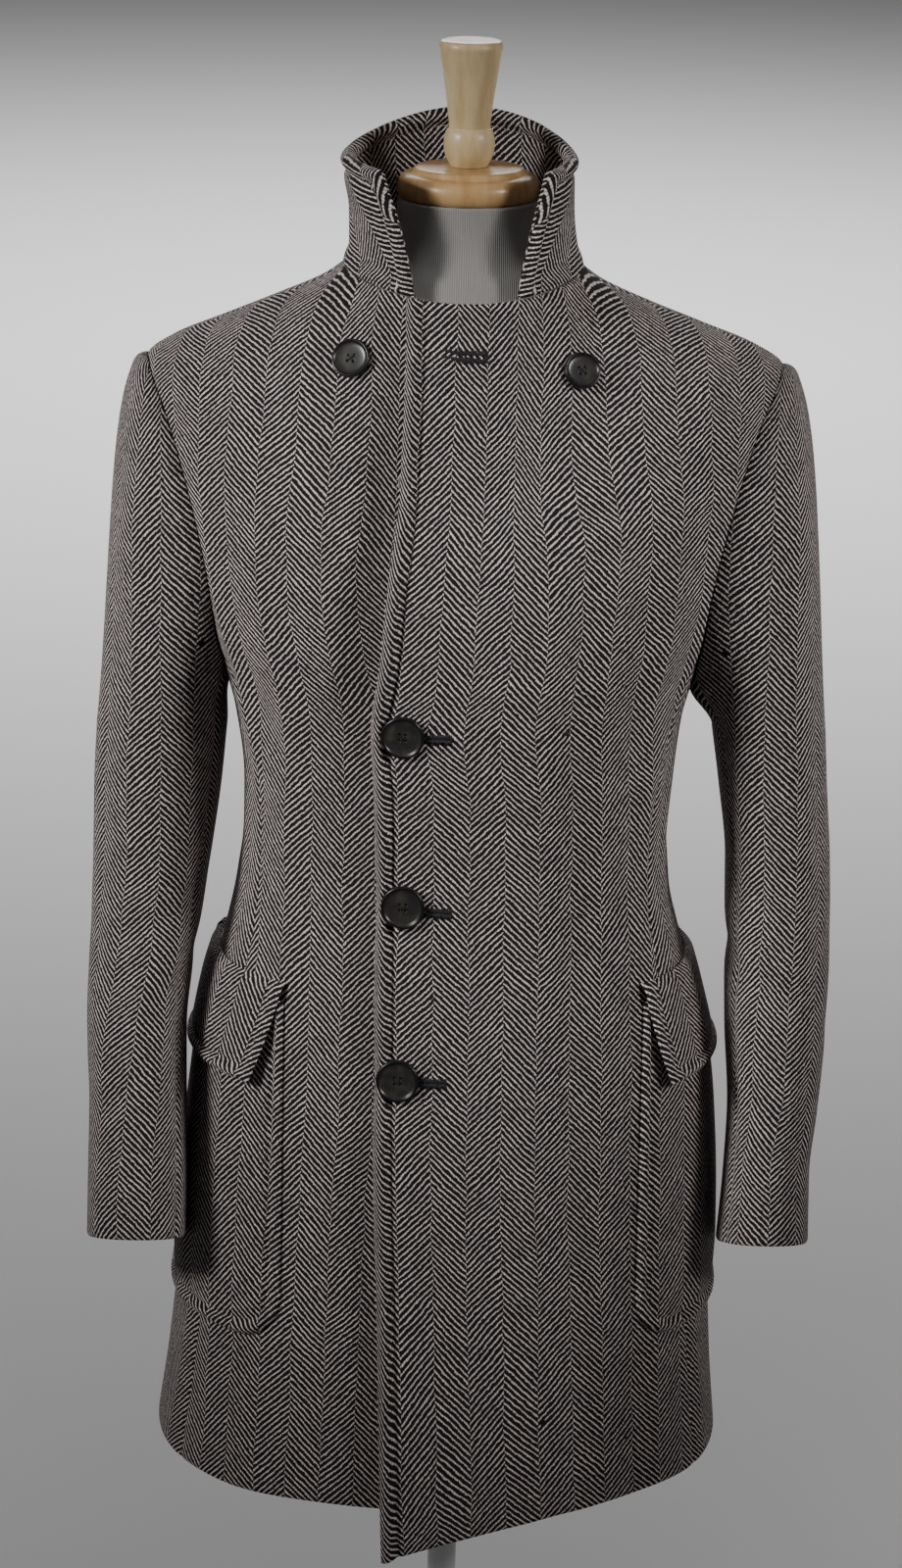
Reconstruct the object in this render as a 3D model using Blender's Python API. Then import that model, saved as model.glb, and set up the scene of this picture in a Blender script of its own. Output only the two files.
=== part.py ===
"""A double-breasted herringbone overcoat with a turned-up collar, on a limbless dress form on a pole.

Metres, +Z up, the coat's front towards -Y. The wearer's left is +X. The origin is the middle of the
underside of the base. The coat is a hollow garment: each cut piece is its own thin solid, and its
points come from one surface for the body, one for each sleeve and one for the collar.
"""

import math

import bmesh
import bpy
import numpy as np
from mathutils import Vector

# Cloth and sewing
CLOTH = 0.0025
SEAM_GAP = 0.0003
LAY_GAP = 0.0012
OVERLAP_LIFT = CLOTH + LAY_GAP
OVERLAP_START_X = 0.060
OVERLAP_END_X = 0.092
UNDER_EDGE_X = 0.048
UNDER_TOP_TRIM = 0.006
UNDER_TRIM_START_X = -0.06
UNDER_TRIM_END_X = -0.03
COLLAR_LAYER = 0.0024
COLLAR_SEAT = 0.0009
POCKET_SEAT = 0.0011

# Levels of the body
HEM = 0.443
NECK = 1.326
ARM_UNDER = 1.018
ARM_TIP = 1.258
ARM_FRONT_REACH = 0.068
ARM_BACK_REACH = 0.076
ARM_EGG = 0.12

# Dress form
TORSO_FOOT = 0.62
TORSO_SHOULDER = 1.315
POLE_RADIUS = 0.011
POLE_FOOT = 0.0143
PART_GAP = 0.0003

# Sampling: angles round the armhole, rows up the body, columns across each piece
ARM_STEP = 15.0
ARM_FINE_STEP = 7.5
SIDE_SEAM_FRONT = 135.0
SIDE_SEAM_BACK = 225.0
SLEEVE_SEAM_FRONT = 150.0
SLEEVE_SEAM_BACK = 255.0
SHOULDER_ROWS = 5
FRONT_COLUMNS = 12
BACK_COLUMNS = 9
TORSO_COLUMNS = 28
COLLAR_COLUMNS = 25
POCKET_COLUMNS = 15
SOLVE_STEPS = 48
NUDGE = 0.001
ROW_NUDGE = 0.005
RISE_NUDGE = 0.02
ANGLE_NUDGE = 0.5

# The coat's outer surface, one row a level: half-widths at the wearer's right and left, depths at the
# front and back, how far the ring drops at the front and back, and how square the ring is.
BODY_COLUMNS = ("level", "right", "left", "front", "back", "front_drop", "back_drop", "square")
BODY_ROWS = [
    (0.443, 0.218, 0.205, 0.163, 0.160, 0.011, 0.004, 2.7),
    (0.500, 0.210, 0.200, 0.160, 0.153, 0.008, 0.003, 2.6),
    (0.560, 0.204, 0.197, 0.156, 0.147, 0.005, 0.002, 2.5),
    (0.630, 0.199, 0.196, 0.150, 0.141, 0.000, 0.000, 2.3),
    (0.700, 0.192, 0.192, 0.145, 0.135, 0.000, 0.000, 2.3),
    (0.750, 0.186, 0.186, 0.140, 0.129, 0.000, 0.000, 2.3),
    (0.790, 0.180, 0.178, 0.136, 0.123, 0.000, 0.000, 2.3),
    (0.830, 0.169, 0.167, 0.132, 0.115, 0.000, 0.000, 2.3),
    (0.870, 0.161, 0.158, 0.129, 0.109, 0.000, 0.000, 2.3),
    (0.910, 0.157, 0.156, 0.128, 0.107, 0.000, 0.000, 2.3),
    (0.950, 0.156, 0.158, 0.130, 0.111, 0.000, 0.000, 2.3),
    (1.000, 0.162, 0.163, 0.134, 0.120, 0.002, 0.000, 2.3),
    (1.030, 0.170, 0.171, 0.136, 0.125, 0.004, 0.002, 2.3),
    (1.070, 0.187, 0.187, 0.137, 0.129, 0.010, 0.006, 2.3),
    (1.120, 0.201, 0.201, 0.137, 0.130, 0.026, 0.016, 2.25),
    (1.180, 0.216, 0.216, 0.134, 0.128, 0.050, 0.032, 2.1),
    (1.230, 0.226, 0.226, 0.128, 0.122, 0.072, 0.048, 1.9),
    (1.258, 0.231, 0.232, 0.121, 0.114, 0.080, 0.056, 1.75),
    (1.271, 0.209, 0.209, 0.117, 0.109, 0.074, 0.050, 1.75),
    (1.285, 0.175, 0.173, 0.112, 0.101, 0.061, 0.038, 1.8),
    (1.300, 0.138, 0.133, 0.105, 0.092, 0.044, 0.020, 1.9),
    (1.315, 0.103, 0.098, 0.098, 0.083, 0.025, 0.002, 2.0),
    (1.326, 0.087, 0.082, 0.093, 0.077, 0.011, -0.012, 2.0),
]

# Levels of the rows between the hem and the armhole, as shares of the way up
LOWER_SHARES = (0.0, 0.10, 0.20, 0.30, 0.39, 0.47, 0.54, 0.60, 0.66, 0.73, 0.81, 0.90, 1.0)

# Angle of the seams of the side panel, in degrees from the centre front, up to the armhole
SEAM_COLUMNS = ("level", "front_seam", "back_seam")
SEAM_ROWS = [
    (0.443, 64.0, 117.0),
    (0.700, 64.0, 116.0),
    (0.910, 65.0, 115.0),
    (1.000, 69.0, 112.0),
]

# Where the overlapping front edge runs
EDGE_COLUMNS = ("level", "edge_x")
EDGE_ROWS = [
    (0.443, -0.044),
    (0.560, -0.049),
    (0.700, -0.054),
    (0.850, -0.055),
    (1.000, -0.056),
    (1.120, -0.052),
    (1.230, -0.045),
    (1.326, -0.038),
]

# Long soft folds of the skirt: angle, half-width of the fold in degrees, height at the hem, level where it dies
FOLD_COLUMNS = ("angle", "spread", "rise", "top")
FOLD_ROWS = [
    (33.0, 9.0, 0.0050, 0.72),
    (50.0, 9.0, -0.0020, 0.66),
    (-46.0, 10.0, 0.0035, 0.64),
    (-140.0, 12.0, 0.0080, 0.80),
    (-162.0, 9.0, -0.0060, 0.74),
    (148.0, 12.0, 0.0075, 0.78),
    (168.0, 8.0, -0.0055, 0.72),
]

# The corner of the overlapping front hangs lower and stands forward
HEM_DIP = 0.036
HEM_SWING = 0.008
HEM_DIP_END_X = 0.118
HEM_DIP_TOP = 0.60
HEM_DIP_POWER = 1.4

# Sleeves, one row a height: how far out the outer and inner sides lie, front and back, lift of the front edge
SLEEVE_COLUMNS = ("height", "outer", "inner", "front", "back", "lift")
SLEEVE_RIGHT_ROWS = [
    (0.985, 0.2640, 0.1685, -0.066, 0.078, 0.000),
    (0.940, 0.2660, 0.1725, -0.067, 0.074, 0.000),
    (0.880, 0.2665, 0.1805, -0.071, 0.062, 0.002),
    (0.820, 0.2680, 0.1890, -0.083, 0.041, 0.005),
    (0.765, 0.2690, 0.1955, -0.099, 0.022, 0.009),
    (0.710, 0.2660, 0.1945, -0.113, 0.003, 0.013),
    (0.655, 0.2660, 0.1930, -0.127, -0.015, 0.016),
    (0.613, 0.2660, 0.1935, -0.137, -0.029, 0.018),
]
SLEEVE_LEFT_ROWS = [
    (0.985, 0.2690, 0.1860, -0.066, 0.078, 0.000),
    (0.945, 0.2715, 0.1920, -0.067, 0.074, 0.000),
    (0.890, 0.2755, 0.1985, -0.070, 0.064, 0.002),
    (0.830, 0.2770, 0.1995, -0.079, 0.048, 0.005),
    (0.770, 0.2755, 0.2010, -0.091, 0.032, 0.009),
    (0.710, 0.2710, 0.2045, -0.103, 0.016, 0.013),
    (0.662, 0.2660, 0.2025, -0.112, 0.003, 0.016),
    (0.610, 0.2665, 0.1985, -0.119, -0.007, 0.018),
]
SLEEVE_SQUARE = 2.1
SLEEVE_RADIUS = 0.05
CAP_FALL = 1.3
CAP_FLARE = 0.13
CAP_ROWS = (0.0, 0.07, 0.17, 0.32, 0.52, 0.76)
SLEEVE_LOWER_ROWS = 8

# How the sleeve leaves its armhole, from the top of the armhole to the underarm
SEAT_COLUMNS = ("angle", "outward", "forward", "downward")
SEAT_ROWS = [
    (0.0, 0.062, 0.000, 0.000),
    (45.0, 0.062, 0.020, 0.010),
    (90.0, 0.045, 0.022, 0.040),
    (135.0, 0.020, 0.006, 0.050),
    (180.0, 0.010, 0.000, 0.030),
]

# Collar, from its seam on the neck (0) to its rim (1): ends' angle from the centre back, half-widths,
# depths, and its height above the neck seam at the back, at the sides and at the front ends
COLLAR_TABLE = ("rise", "end", "right", "left", "back", "front", "back_up", "side_up", "end_up")
COLLAR_ROWS = [
    (0.00, 157.0, 0.0870, 0.0820, 0.0770, 0.0930, 0.000, 0.000, 0.000),
    (0.18, 154.0, 0.0815, 0.0760, 0.0730, 0.0905, 0.016, 0.014, 0.015),
    (0.50, 148.0, 0.0820, 0.0730, 0.0720, 0.0890, 0.044, 0.040, 0.041),
    (0.80, 141.0, 0.0855, 0.0725, 0.0740, 0.0900, 0.071, 0.063, 0.066),
    (1.00, 136.0, 0.0850, 0.0720, 0.0740, 0.0910, 0.088, 0.078, 0.081),
]

COLLAR_BACK_POWER = 1.2

# Patch pockets and flaps, one row a side: where the front edges lie, and the angle of the back edges
POCKET_TABLE = ("side", "patch_x", "flap_top_x", "flap_low_x", "patch_back", "flap_back")
POCKET_ROWS = [
    (-1.0, 0.121, 0.119, 0.138, 100.0, 103.0),
    (1.0, 0.137, 0.134, 0.150, 105.0, 108.0),
]
POCKET_TOP = 0.806
POCKET_FOOT = 0.556
POCKET_CORNER = 0.034
POCKET_ROWS_UP = 8
CORNER_CROWD = 0.35
FLAP_TOP = 0.820
FLAP_FOOT = 0.745

# Down the flap: how far down, and how far its inside stands off the body
FLAP_TABLE = ("down", "stand_off")
FLAP_ROWS = [
    (0.00, 0.0010),
    (0.10, 0.0044),
    (0.35, 0.0046),
    (0.70, 0.0054),
    (1.00, 0.0064),
]

# Buttons: place across, level on the coat, radius, and how far the back stands off the cloth
BUTTON_TABLE = ("across", "level", "radius", "seat")
BUTTON_ROWS = {
    "button_front_top": (-0.038, 1.0190, 0.0156, 0.0001),
    "button_front_middle": (-0.036, 0.8880, 0.0158, 0.0010),
    "button_front_low": (-0.038, 0.7600, 0.0156, 0.0004),
    "button_chest_right": (-0.0785, 1.2984, 0.0138, 0.0009),
    "button_chest_left": (0.0800, 1.2947, 0.0130, 0.0000),
}
BUTTON_SEGMENTS = 16

# A button's outline: share of its radius, height
BUTTON_OUTLINE = [
    (0.90, 0.0000),
    (1.00, 0.0014),
    (1.00, 0.0032),
    (0.93, 0.0042),
    (0.82, 0.0040),
    (0.72, 0.0030),
]

# Room between the coat's inside and the dress form: at the front, at the sides and at the back
EASE_COLUMNS = ("level", "front", "side", "back")
EASE_ROWS = [
    (0.620, 0.0300, 0.0260, 0.0280),
    (0.750, 0.0260, 0.0200, 0.0220),
    (0.910, 0.0120, 0.0080, 0.0100),
    (1.030, 0.0090, 0.0080, 0.0080),
    (1.120, 0.0080, 0.0220, 0.0070),
    (1.200, 0.0070, 0.0260, 0.0060),
    (1.245, 0.0050, 0.0220, 0.0040),
    (1.258, 0.0042, 0.0150, 0.0036),
    (1.271, 0.0034, 0.0032, 0.0028),
    (1.285, 0.0030, 0.0016, 0.0024),
    (1.300, 0.0030, 0.0012, 0.0022),
    (1.315, 0.0060, 0.0030, 0.0040),
]

# The form's neck above the shoulders: height, half-width, half-depth, how far back it stands
FORM_NECK_COLUMNS = ("height", "half", "depth", "centre")
FORM_NECK_ROWS = [
    (1.3240, 0.0690, 0.0680, -0.004),
    (1.3340, 0.0580, 0.0600, -0.001),
    (1.3480, 0.0525, 0.0540, 0.000),
    (1.3600, 0.0508, 0.0515, 0.000),
    (1.3735, 0.0500, 0.0500, 0.000),
]

# Turned and round pieces: radius, height
CAP_OUTLINE = [
    (0.0470, 1.3738),
    (0.0495, 1.3760),
    (0.0505, 1.3815),
    (0.0495, 1.3870),
    (0.0460, 1.3905),
    (0.0400, 1.3915),
    (0.0388, 1.3930),
    (0.0380, 1.3955),
]
FINIAL_OUTLINE = [
    (0.0165, 1.3958),
    (0.0178, 1.4020),
    (0.0182, 1.4100),
    (0.0176, 1.4180),
    (0.0160, 1.4215),
    (0.0148, 1.4235),
    (0.0150, 1.4300),
    (0.0180, 1.4520),
    (0.0220, 1.4760),
    (0.0228, 1.4800),
    (0.0218, 1.4835),
    (0.0190, 1.4845),
]
BASE_OUTLINE = [
    (0.1940, 0.0000),
    (0.1970, 0.0020),
    (0.1970, 0.0070),
    (0.1930, 0.0095),
    (0.0600, 0.0130),
    (0.0300, 0.0140),
]
TURNED_SEGMENTS = 28
POLE_SEGMENTS = 20

# Colours of the pieces
TWEED = (0.15, 0.145, 0.14)
JERSEY = (0.62, 0.60, 0.55)
CAP_WOOD = (0.50, 0.32, 0.15)
FINIAL_WOOD = (0.62, 0.47, 0.27)
WHITE_PAINT = (0.78, 0.78, 0.76)
HORN = (0.012, 0.012, 0.013)


def table(names, rows):
    """The rows as one array a column, by the column's name."""
    return dict(zip(names, np.array(rows, float).T))


BODY = table(BODY_COLUMNS, BODY_ROWS)
SEAMS = table(SEAM_COLUMNS, SEAM_ROWS)
EDGE = table(EDGE_COLUMNS, EDGE_ROWS)
EASE = table(EASE_COLUMNS, EASE_ROWS)
COLLAR = table(COLLAR_TABLE, COLLAR_ROWS)
FLAP = table(FLAP_TABLE, FLAP_ROWS)
SEAT = table(SEAT_COLUMNS, SEAT_ROWS)


def smooth(knots, values, where):
    """A smooth line through the values that never overshoots them."""
    gaps = np.diff(knots)
    slopes = np.diff(values) / gaps
    before, after = slopes[:-1], slopes[1:]
    same_way = before * after > 0
    weight_before = 2 * gaps[1:] + gaps[:-1]
    weight_after = gaps[1:] + 2 * gaps[:-1]
    mean = (weight_before + weight_after) / (
        weight_before / np.where(same_way, before, 1.0) + weight_after / np.where(same_way, after, 1.0)
    )
    tangents = np.concatenate([slopes[:1], np.where(same_way, mean, 0.0), slopes[-1:]])
    where = np.clip(where, knots[0], knots[-1])
    cell = np.clip(np.searchsorted(knots, where, side="right") - 1, 0, len(gaps) - 1)
    width = gaps[cell]
    part = (where - knots[cell]) / width
    rest = 1 - part
    near = (1 + 2 * part) * rest**2 * values[cell] + part * rest**2 * width * tangents[cell]
    far = (1 + 2 * rest) * part**2 * values[cell + 1] - rest * part**2 * width * tangents[cell + 1]
    return near + far


def ease_in(start, end, where):
    """0 at the start, 1 at the end, smooth at both."""
    part = np.clip((where - start) / (end - start), 0.0, 1.0)
    return part * part * (3 - 2 * part)


def unit(vectors):
    return vectors / np.linalg.norm(vectors, axis=-1, keepdims=True)


def body_point(turn, level):
    """The coat's outer surface: turn is the angle from the centre front towards the wearer's left."""
    turn, level = np.broadcast_arrays(np.asarray(turn, float), np.asarray(level, float))
    column = {name: smooth(BODY["level"], BODY[name], level) for name in BODY_COLUMNS[1:]}
    in_front = np.cos(turn) >= 0
    half = np.where(np.sin(turn) >= 0, column["left"], column["right"])
    depth = np.where(in_front, column["front"], column["back"])
    drop = np.where(in_front, column["front_drop"], column["back_drop"])
    across = np.abs(np.sin(turn)) / half
    along = np.abs(np.cos(turn)) / depth
    reach = (across ** column["square"] + along ** column["square"]) ** (-1 / column["square"])
    for angle, spread, rise, top in FOLD_ROWS:
        apart = (np.degrees(turn) - angle + 180.0) % 360.0 - 180.0
        reach = reach + rise * np.exp(-((apart / spread) ** 2)) * ease_in(top, HEM, level)
    height = level - drop * np.cos(turn) ** 2
    return np.stack([reach * np.sin(turn), -reach * np.cos(turn), height], axis=-1)


def body_normal(turn, level):
    sideways = body_point(turn + NUDGE, level) - body_point(turn - NUDGE, level)
    upwards = body_point(turn, level + NUDGE) - body_point(turn, level - NUDGE)
    return unit(np.cross(sideways, upwards))


def body_off(turn, level, lift):
    """The outer surface moved out by lift."""
    lift = np.asarray(lift, float)
    return body_point(turn, level) + body_normal(turn, level) * lift[..., None]


def turn_where(level, target, axis, low, high):
    """The angle at which the ring at this level has this x or y."""
    level, target = np.broadcast_arrays(np.asarray(level, float), np.asarray(target, float))
    low = np.full(level.shape, float(low))
    high = np.full(level.shape, float(high))
    for _ in range(SOLVE_STEPS):
        middle = (low + high) / 2
        below = body_point(middle, level)[..., axis] < target
        low = np.where(below, middle, low)
        high = np.where(below, high, middle)
    return (low + high) / 2


def turn_at_x(level, across):
    return turn_where(level, across, 0, -math.radians(88), math.radians(88))


def armhole(angle):
    """Level and turn (on the wearer's left) round the armhole: 0 at the shoulder, 90 in front."""
    angle = np.radians(np.asarray(angle, float))
    level = (ARM_TIP + ARM_UNDER) / 2 + (ARM_TIP - ARM_UNDER) / 2 * np.cos(angle)
    reach = np.where(np.sin(angle) >= 0, -ARM_FRONT_REACH, ARM_BACK_REACH)
    depth = reach * np.abs(np.sin(angle)) * (1 - ARM_EGG * np.cos(angle))
    return level, turn_where(level, depth, 1, 0.0, math.pi)


def seam_turn(name, arm_angle, level):
    """Angle of a side-panel seam, which ends on the armhole."""
    end_level, end_turn = armhole(arm_angle)
    knots = np.append(SEAMS["level"], end_level)
    values = np.append(np.radians(SEAMS[name]), end_turn)
    return smooth(knots, values, level)


def front_seam(level):
    return seam_turn("front_seam", SIDE_SEAM_FRONT, level)


def back_seam(level):
    return seam_turn("back_seam", SIDE_SEAM_BACK, level)


def half_seam(level):
    """Half a seam's gap, as an angle."""
    return SEAM_GAP / 2 / smooth(BODY["level"], BODY["left"], level)


def panel_rows(arm_angle):
    """Levels of a front or back, with the angle of its outer edge: seam, armhole, shoulder seam."""
    seam = front_seam if arm_angle < 180 else back_seam
    top_of_seam = armhole(arm_angle)[0]
    lower = HEM + (top_of_seam - HEM) * np.array(LOWER_SHARES)
    if arm_angle < 180:
        stations = np.arange(arm_angle - ARM_STEP, -ARM_STEP / 2, -ARM_STEP)
    else:
        stations = np.arange(arm_angle + ARM_STEP, 360 + ARM_STEP / 2, ARM_STEP)
    arm_levels, arm_turns = armhole(stations)
    shoulder = np.linspace(ARM_TIP, NECK, SHOULDER_ROWS + 1)[1:]
    levels = np.concatenate([lower, arm_levels, shoulder])
    turns = np.concatenate([seam(lower), arm_turns, np.full(SHOULDER_ROWS, math.pi / 2)])
    return levels, turns


def drape_hem(points):
    """Lets the corner of the overlapping front hang lower and swing forward."""
    share = np.clip((HEM_DIP_END_X - points[..., 0]) / (HEM_DIP_END_X - EDGE["edge_x"][0]), 0, 1)
    share = share**HEM_DIP_POWER
    fade = ease_in(HEM_DIP_TOP, HEM, points[..., 2]) * (points[..., 1] < 0)
    points[..., 2] -= HEM_DIP * share * fade
    points[..., 1] -= HEM_SWING * share * fade
    return points


def overlap_lift(across):
    """How far the overlapping front is lifted by the front beneath it."""
    return OVERLAP_LIFT * (1 - ease_in(OVERLAP_START_X, OVERLAP_END_X, across))


def front_grid(side, thick):
    """A front, from its edge to its outer seam, on the face that lies this deep in the cloth."""
    levels, outer = panel_rows(SIDE_SEAM_FRONT)
    outer = outer - half_seam(levels)
    if side > 0:
        edge = turn_at_x(levels, smooth(EDGE["level"], EDGE["edge_x"], levels))
    else:
        edge = -turn_at_x(levels, np.full(levels.shape, UNDER_EDGE_X))
    share = np.linspace(0, 1, FRONT_COLUMNS)
    turn = edge[:, None] + (outer - edge)[:, None] * share
    level = np.repeat(levels[:, None], FRONT_COLUMNS, axis=1)
    if side < 0:
        under = ease_in(UNDER_TRIM_START_X, UNDER_TRIM_END_X, body_point(-turn, level)[..., 0])
        level = level - UNDER_TOP_TRIM * under * ease_in(ARM_TIP, NECK, level)
        return body_off(-turn, level, np.full(turn.shape, -thick))
    across = body_point(turn, level)[..., 0]
    return drape_hem(body_off(turn, level, overlap_lift(across) - thick))


def back_grid(side, thick):
    levels, outer = panel_rows(SIDE_SEAM_BACK)
    outer = outer + half_seam(levels)
    middle = math.pi - SEAM_GAP / 2 / smooth(BODY["level"], BODY["back"], levels)
    share = np.linspace(0, 1, BACK_COLUMNS)
    turn = outer[:, None] + (middle - outer)[:, None] * share
    level = np.repeat(levels[:, None], BACK_COLUMNS, axis=1)
    return body_off(side * turn, level, np.full(turn.shape, -thick))


def side_grid(side, thick):
    """A side panel, whose top edge is the lower part of the armhole."""
    stations = np.arange(SIDE_SEAM_FRONT, SIDE_SEAM_BACK + ARM_FINE_STEP / 2, ARM_FINE_STEP)
    top_level, top_turn = armhole(stations)
    front, back = front_seam(top_level), back_seam(top_level)
    share = (top_turn - front) / (back - front)
    level = HEM + (top_level - HEM) * np.array(LOWER_SHARES)[:, None]
    front = front_seam(level) + half_seam(level)
    back = back_seam(level) - half_seam(level)
    turn = front + (back - front) * share
    return body_off(side * turn, level, np.full(turn.shape, -thick))


def sleeve_ring(rows, side, angle, height):
    """The sleeve below the underarm: angle 0 is its outer side, 90 its front."""
    column = {name: smooth(rows["height"], rows[name], height) for name in SLEEVE_COLUMNS[1:]}
    angle = np.radians(angle)
    cosine, sine = np.cos(angle), np.sin(angle)
    power = 2 / SLEEVE_SQUARE
    out = np.sign(cosine) * np.abs(cosine) ** power
    forward = np.sign(sine) * np.abs(sine) ** power
    across = (column["outer"] + column["inner"]) / 2 + (column["outer"] - column["inner"]) / 2 * out
    along = (column["front"] + column["back"]) / 2 + (column["front"] - column["back"]) / 2 * forward
    return np.stack([side * across, along, height + column["lift"] * forward], axis=-1)


def sleeve_point(rows, side, angle, row):
    """The sleeve's outer surface: row 0 at the armhole, 1 at the underarm ring, 2 at the cuff."""
    angle, row = np.broadcast_arrays(np.asarray(angle, float), np.asarray(row, float))
    top, foot = rows["height"][-1], rows["height"][0]
    ring = sleeve_ring(rows, side, angle, top - (top - foot) * np.clip(row - 1, 0, 1))
    level, turn = armhole(angle % 360)
    seam = body_point(side * turn, level)
    seam[..., 0] += side * SEAM_GAP * 2
    round_from_top = np.abs((angle + 180) % 360 - 180)
    outward, forward, downward = (smooth(SEAT["angle"], SEAT[name], round_from_top) for name in SEAT_COLUMNS[1:])
    in_front = np.sign(np.sin(np.radians(angle)))
    leave = np.stack([side * outward, -forward * in_front, -downward], axis=-1)
    fall = np.zeros_like(leave)
    outer_share = (1 + np.cos(np.radians(angle))) / 2
    fall[..., 0] = side * CAP_FLARE * outer_share * (seam[..., 2] - ring[..., 2])
    fall[..., 2] = -CAP_FALL * (seam[..., 2] - ring[..., 2])
    part = np.clip(row, 0, 1)[..., None]
    rest = 1 - part
    head = (1 + 2 * part) * rest**2 * seam + part * rest**2 * leave
    head = head + (1 + 2 * rest) * part**2 * ring - rest * part**2 * fall
    return np.where(row[..., None] < 1, head, ring)


def sleeve_grid(rows, side, first, last, thick):
    """Part of a sleeve between two angles, on the face that lies this deep in the cloth."""
    stations = np.concatenate([
        np.arange(SLEEVE_SEAM_BACK - 360, SIDE_SEAM_FRONT, ARM_STEP),
        np.arange(SIDE_SEAM_FRONT, SIDE_SEAM_BACK, ARM_FINE_STEP),
        np.arange(SIDE_SEAM_BACK, 360 + NUDGE, ARM_STEP),
    ])
    angle = stations[(stations >= first) & (stations <= last)]
    gap = math.degrees(SEAM_GAP / 2 / SLEEVE_RADIUS)
    angle[0] += gap
    angle[-1] -= gap
    row = np.concatenate([CAP_ROWS, np.linspace(1, 2, SLEEVE_LOWER_ROWS)])[:, None]
    points = sleeve_point(rows, side, angle, row)
    around = sleeve_point(rows, side, angle + ANGLE_NUDGE, row)
    around = around - sleeve_point(rows, side, angle - ANGLE_NUDGE, row)
    down = sleeve_point(rows, side, angle, np.clip(row + ROW_NUDGE, 0, 2))
    down = down - sleeve_point(rows, side, angle, np.clip(row - ROW_NUDGE, 0, 2))
    normal = unit(np.cross(around, down)) * side
    return points - normal * thick


def collar_point(length, rise):
    """The middle of the collar: length 0 at its end on the wearer's right, 1 at the left end."""
    column = {name: smooth(COLLAR["rise"], COLLAR[name], rise) for name in COLLAR_TABLE[1:]}
    share = 2 * length - 1
    turn = np.radians(column["end"]) * share
    half = np.where(share >= 0, column["left"], column["right"])
    depth = np.where(np.cos(turn) >= 0, column["back"], column["front"])
    reach = 1 / np.sqrt((np.sin(turn) / half) ** 2 + (np.cos(turn) / depth) ** 2)
    rear = np.cos(turn)
    front_share = np.clip(rear / np.cos(np.radians(column["end"])), 0, 1) ** 2
    end_up = np.where(rear >= 0, column["back_up"], column["end_up"])
    share_of_end = np.where(rear >= 0, np.abs(rear) ** COLLAR_BACK_POWER, front_share)
    up = column["side_up"] + (end_up - column["side_up"]) * share_of_end
    neck_seam = body_point(math.pi - turn, np.full(turn.shape, NECK))[..., 2]
    return np.stack([reach * np.sin(turn), reach * np.cos(turn), neck_seam + up + COLLAR_SEAT], axis=-1)


def collar_grid(lift):
    length = np.linspace(0, 1, COLLAR_COLUMNS)
    rise = np.array(COLLAR["rise"])[:, None]
    length, rise = np.broadcast_arrays(length, rise)
    around = collar_point(length + NUDGE, rise) - collar_point(length - NUDGE, rise)
    upwards = collar_point(length, np.clip(rise + RISE_NUDGE, 0, 1))
    upwards = upwards - collar_point(length, np.clip(rise - RISE_NUDGE, 0, 1))
    normal = -unit(np.cross(around, upwards))
    return collar_point(length, rise) + normal * lift


def pocket_grid(side, patch_x, back_angle, lift):
    """A patch pocket: its front edge upright, its lower corners round."""
    share = np.linspace(0, 1, POCKET_COLUMNS)
    share = share - CORNER_CROWD * np.sin(2 * math.pi * share) / (2 * math.pi)
    front = np.abs(turn_at_x(np.full(1, POCKET_FOOT), side * patch_x))[0]
    width = (math.radians(back_angle) - front) * patch_x / math.sin(front)
    from_edge = np.minimum(share, 1 - share) * width
    inside = np.clip(POCKET_CORNER - from_edge, 0, POCKET_CORNER)
    foot = POCKET_FOOT + POCKET_CORNER - np.sqrt(POCKET_CORNER**2 - inside**2)
    level = foot + (POCKET_TOP - foot) * np.linspace(0, 1, POCKET_ROWS_UP)[:, None]
    front = np.abs(turn_at_x(level, np.full(level.shape, side * patch_x)))
    turn = front + (math.radians(back_angle) - front) * share
    return body_off(side * turn, level, np.full(turn.shape, lift))


def flap_grid(side, top_x, low_x, back_angle, lift):
    """A pocket flap: it lies on the body at its top and stands off at its lower edge."""
    share = np.linspace(0, 1, POCKET_COLUMNS)
    down = FLAP["down"][:, None]
    level = np.repeat(FLAP_TOP + (FLAP_FOOT - FLAP_TOP) * down, POCKET_COLUMNS, axis=1)
    front_x = side * (top_x + (low_x - top_x) * down)
    front = np.abs(turn_at_x(level, np.broadcast_to(front_x, level.shape)))
    turn = front + (math.radians(back_angle) - front) * share
    stand_off = np.broadcast_to(FLAP["stand_off"][:, None], level.shape)
    return body_off(side * turn, level, stand_off + lift)


def plain_material(name, colour, roughness):
    material = bpy.data.materials.new(name + "_material")
    material.use_nodes = True
    shader = material.node_tree.nodes["Principled BSDF"]
    shader.inputs["Base Color"].default_value = (*colour, 1.0)
    shader.inputs["Roughness"].default_value = roughness
    return material


def make_object(name, points, faces, colour, roughness):
    """One closed body, its faces turned outwards."""
    mesh = bpy.data.meshes.new(name)
    bm = bmesh.new()
    corners = [bm.verts.new(point) for point in points]
    for face in faces:
        bm.faces.new([corners[index] for index in face])
    bmesh.ops.triangulate(bm, faces=bm.faces[:])
    bmesh.ops.recalc_face_normals(bm, faces=bm.faces[:])
    if bm.calc_volume(signed=True) < 0:
        bmesh.ops.reverse_faces(bm, faces=bm.faces[:])
    bm.to_mesh(mesh)
    bm.free()
    piece = bpy.data.objects.new(name, mesh)
    bpy.context.scene.collection.objects.link(piece)
    mesh.materials.append(plain_material(name, colour, roughness))
    return piece


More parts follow.
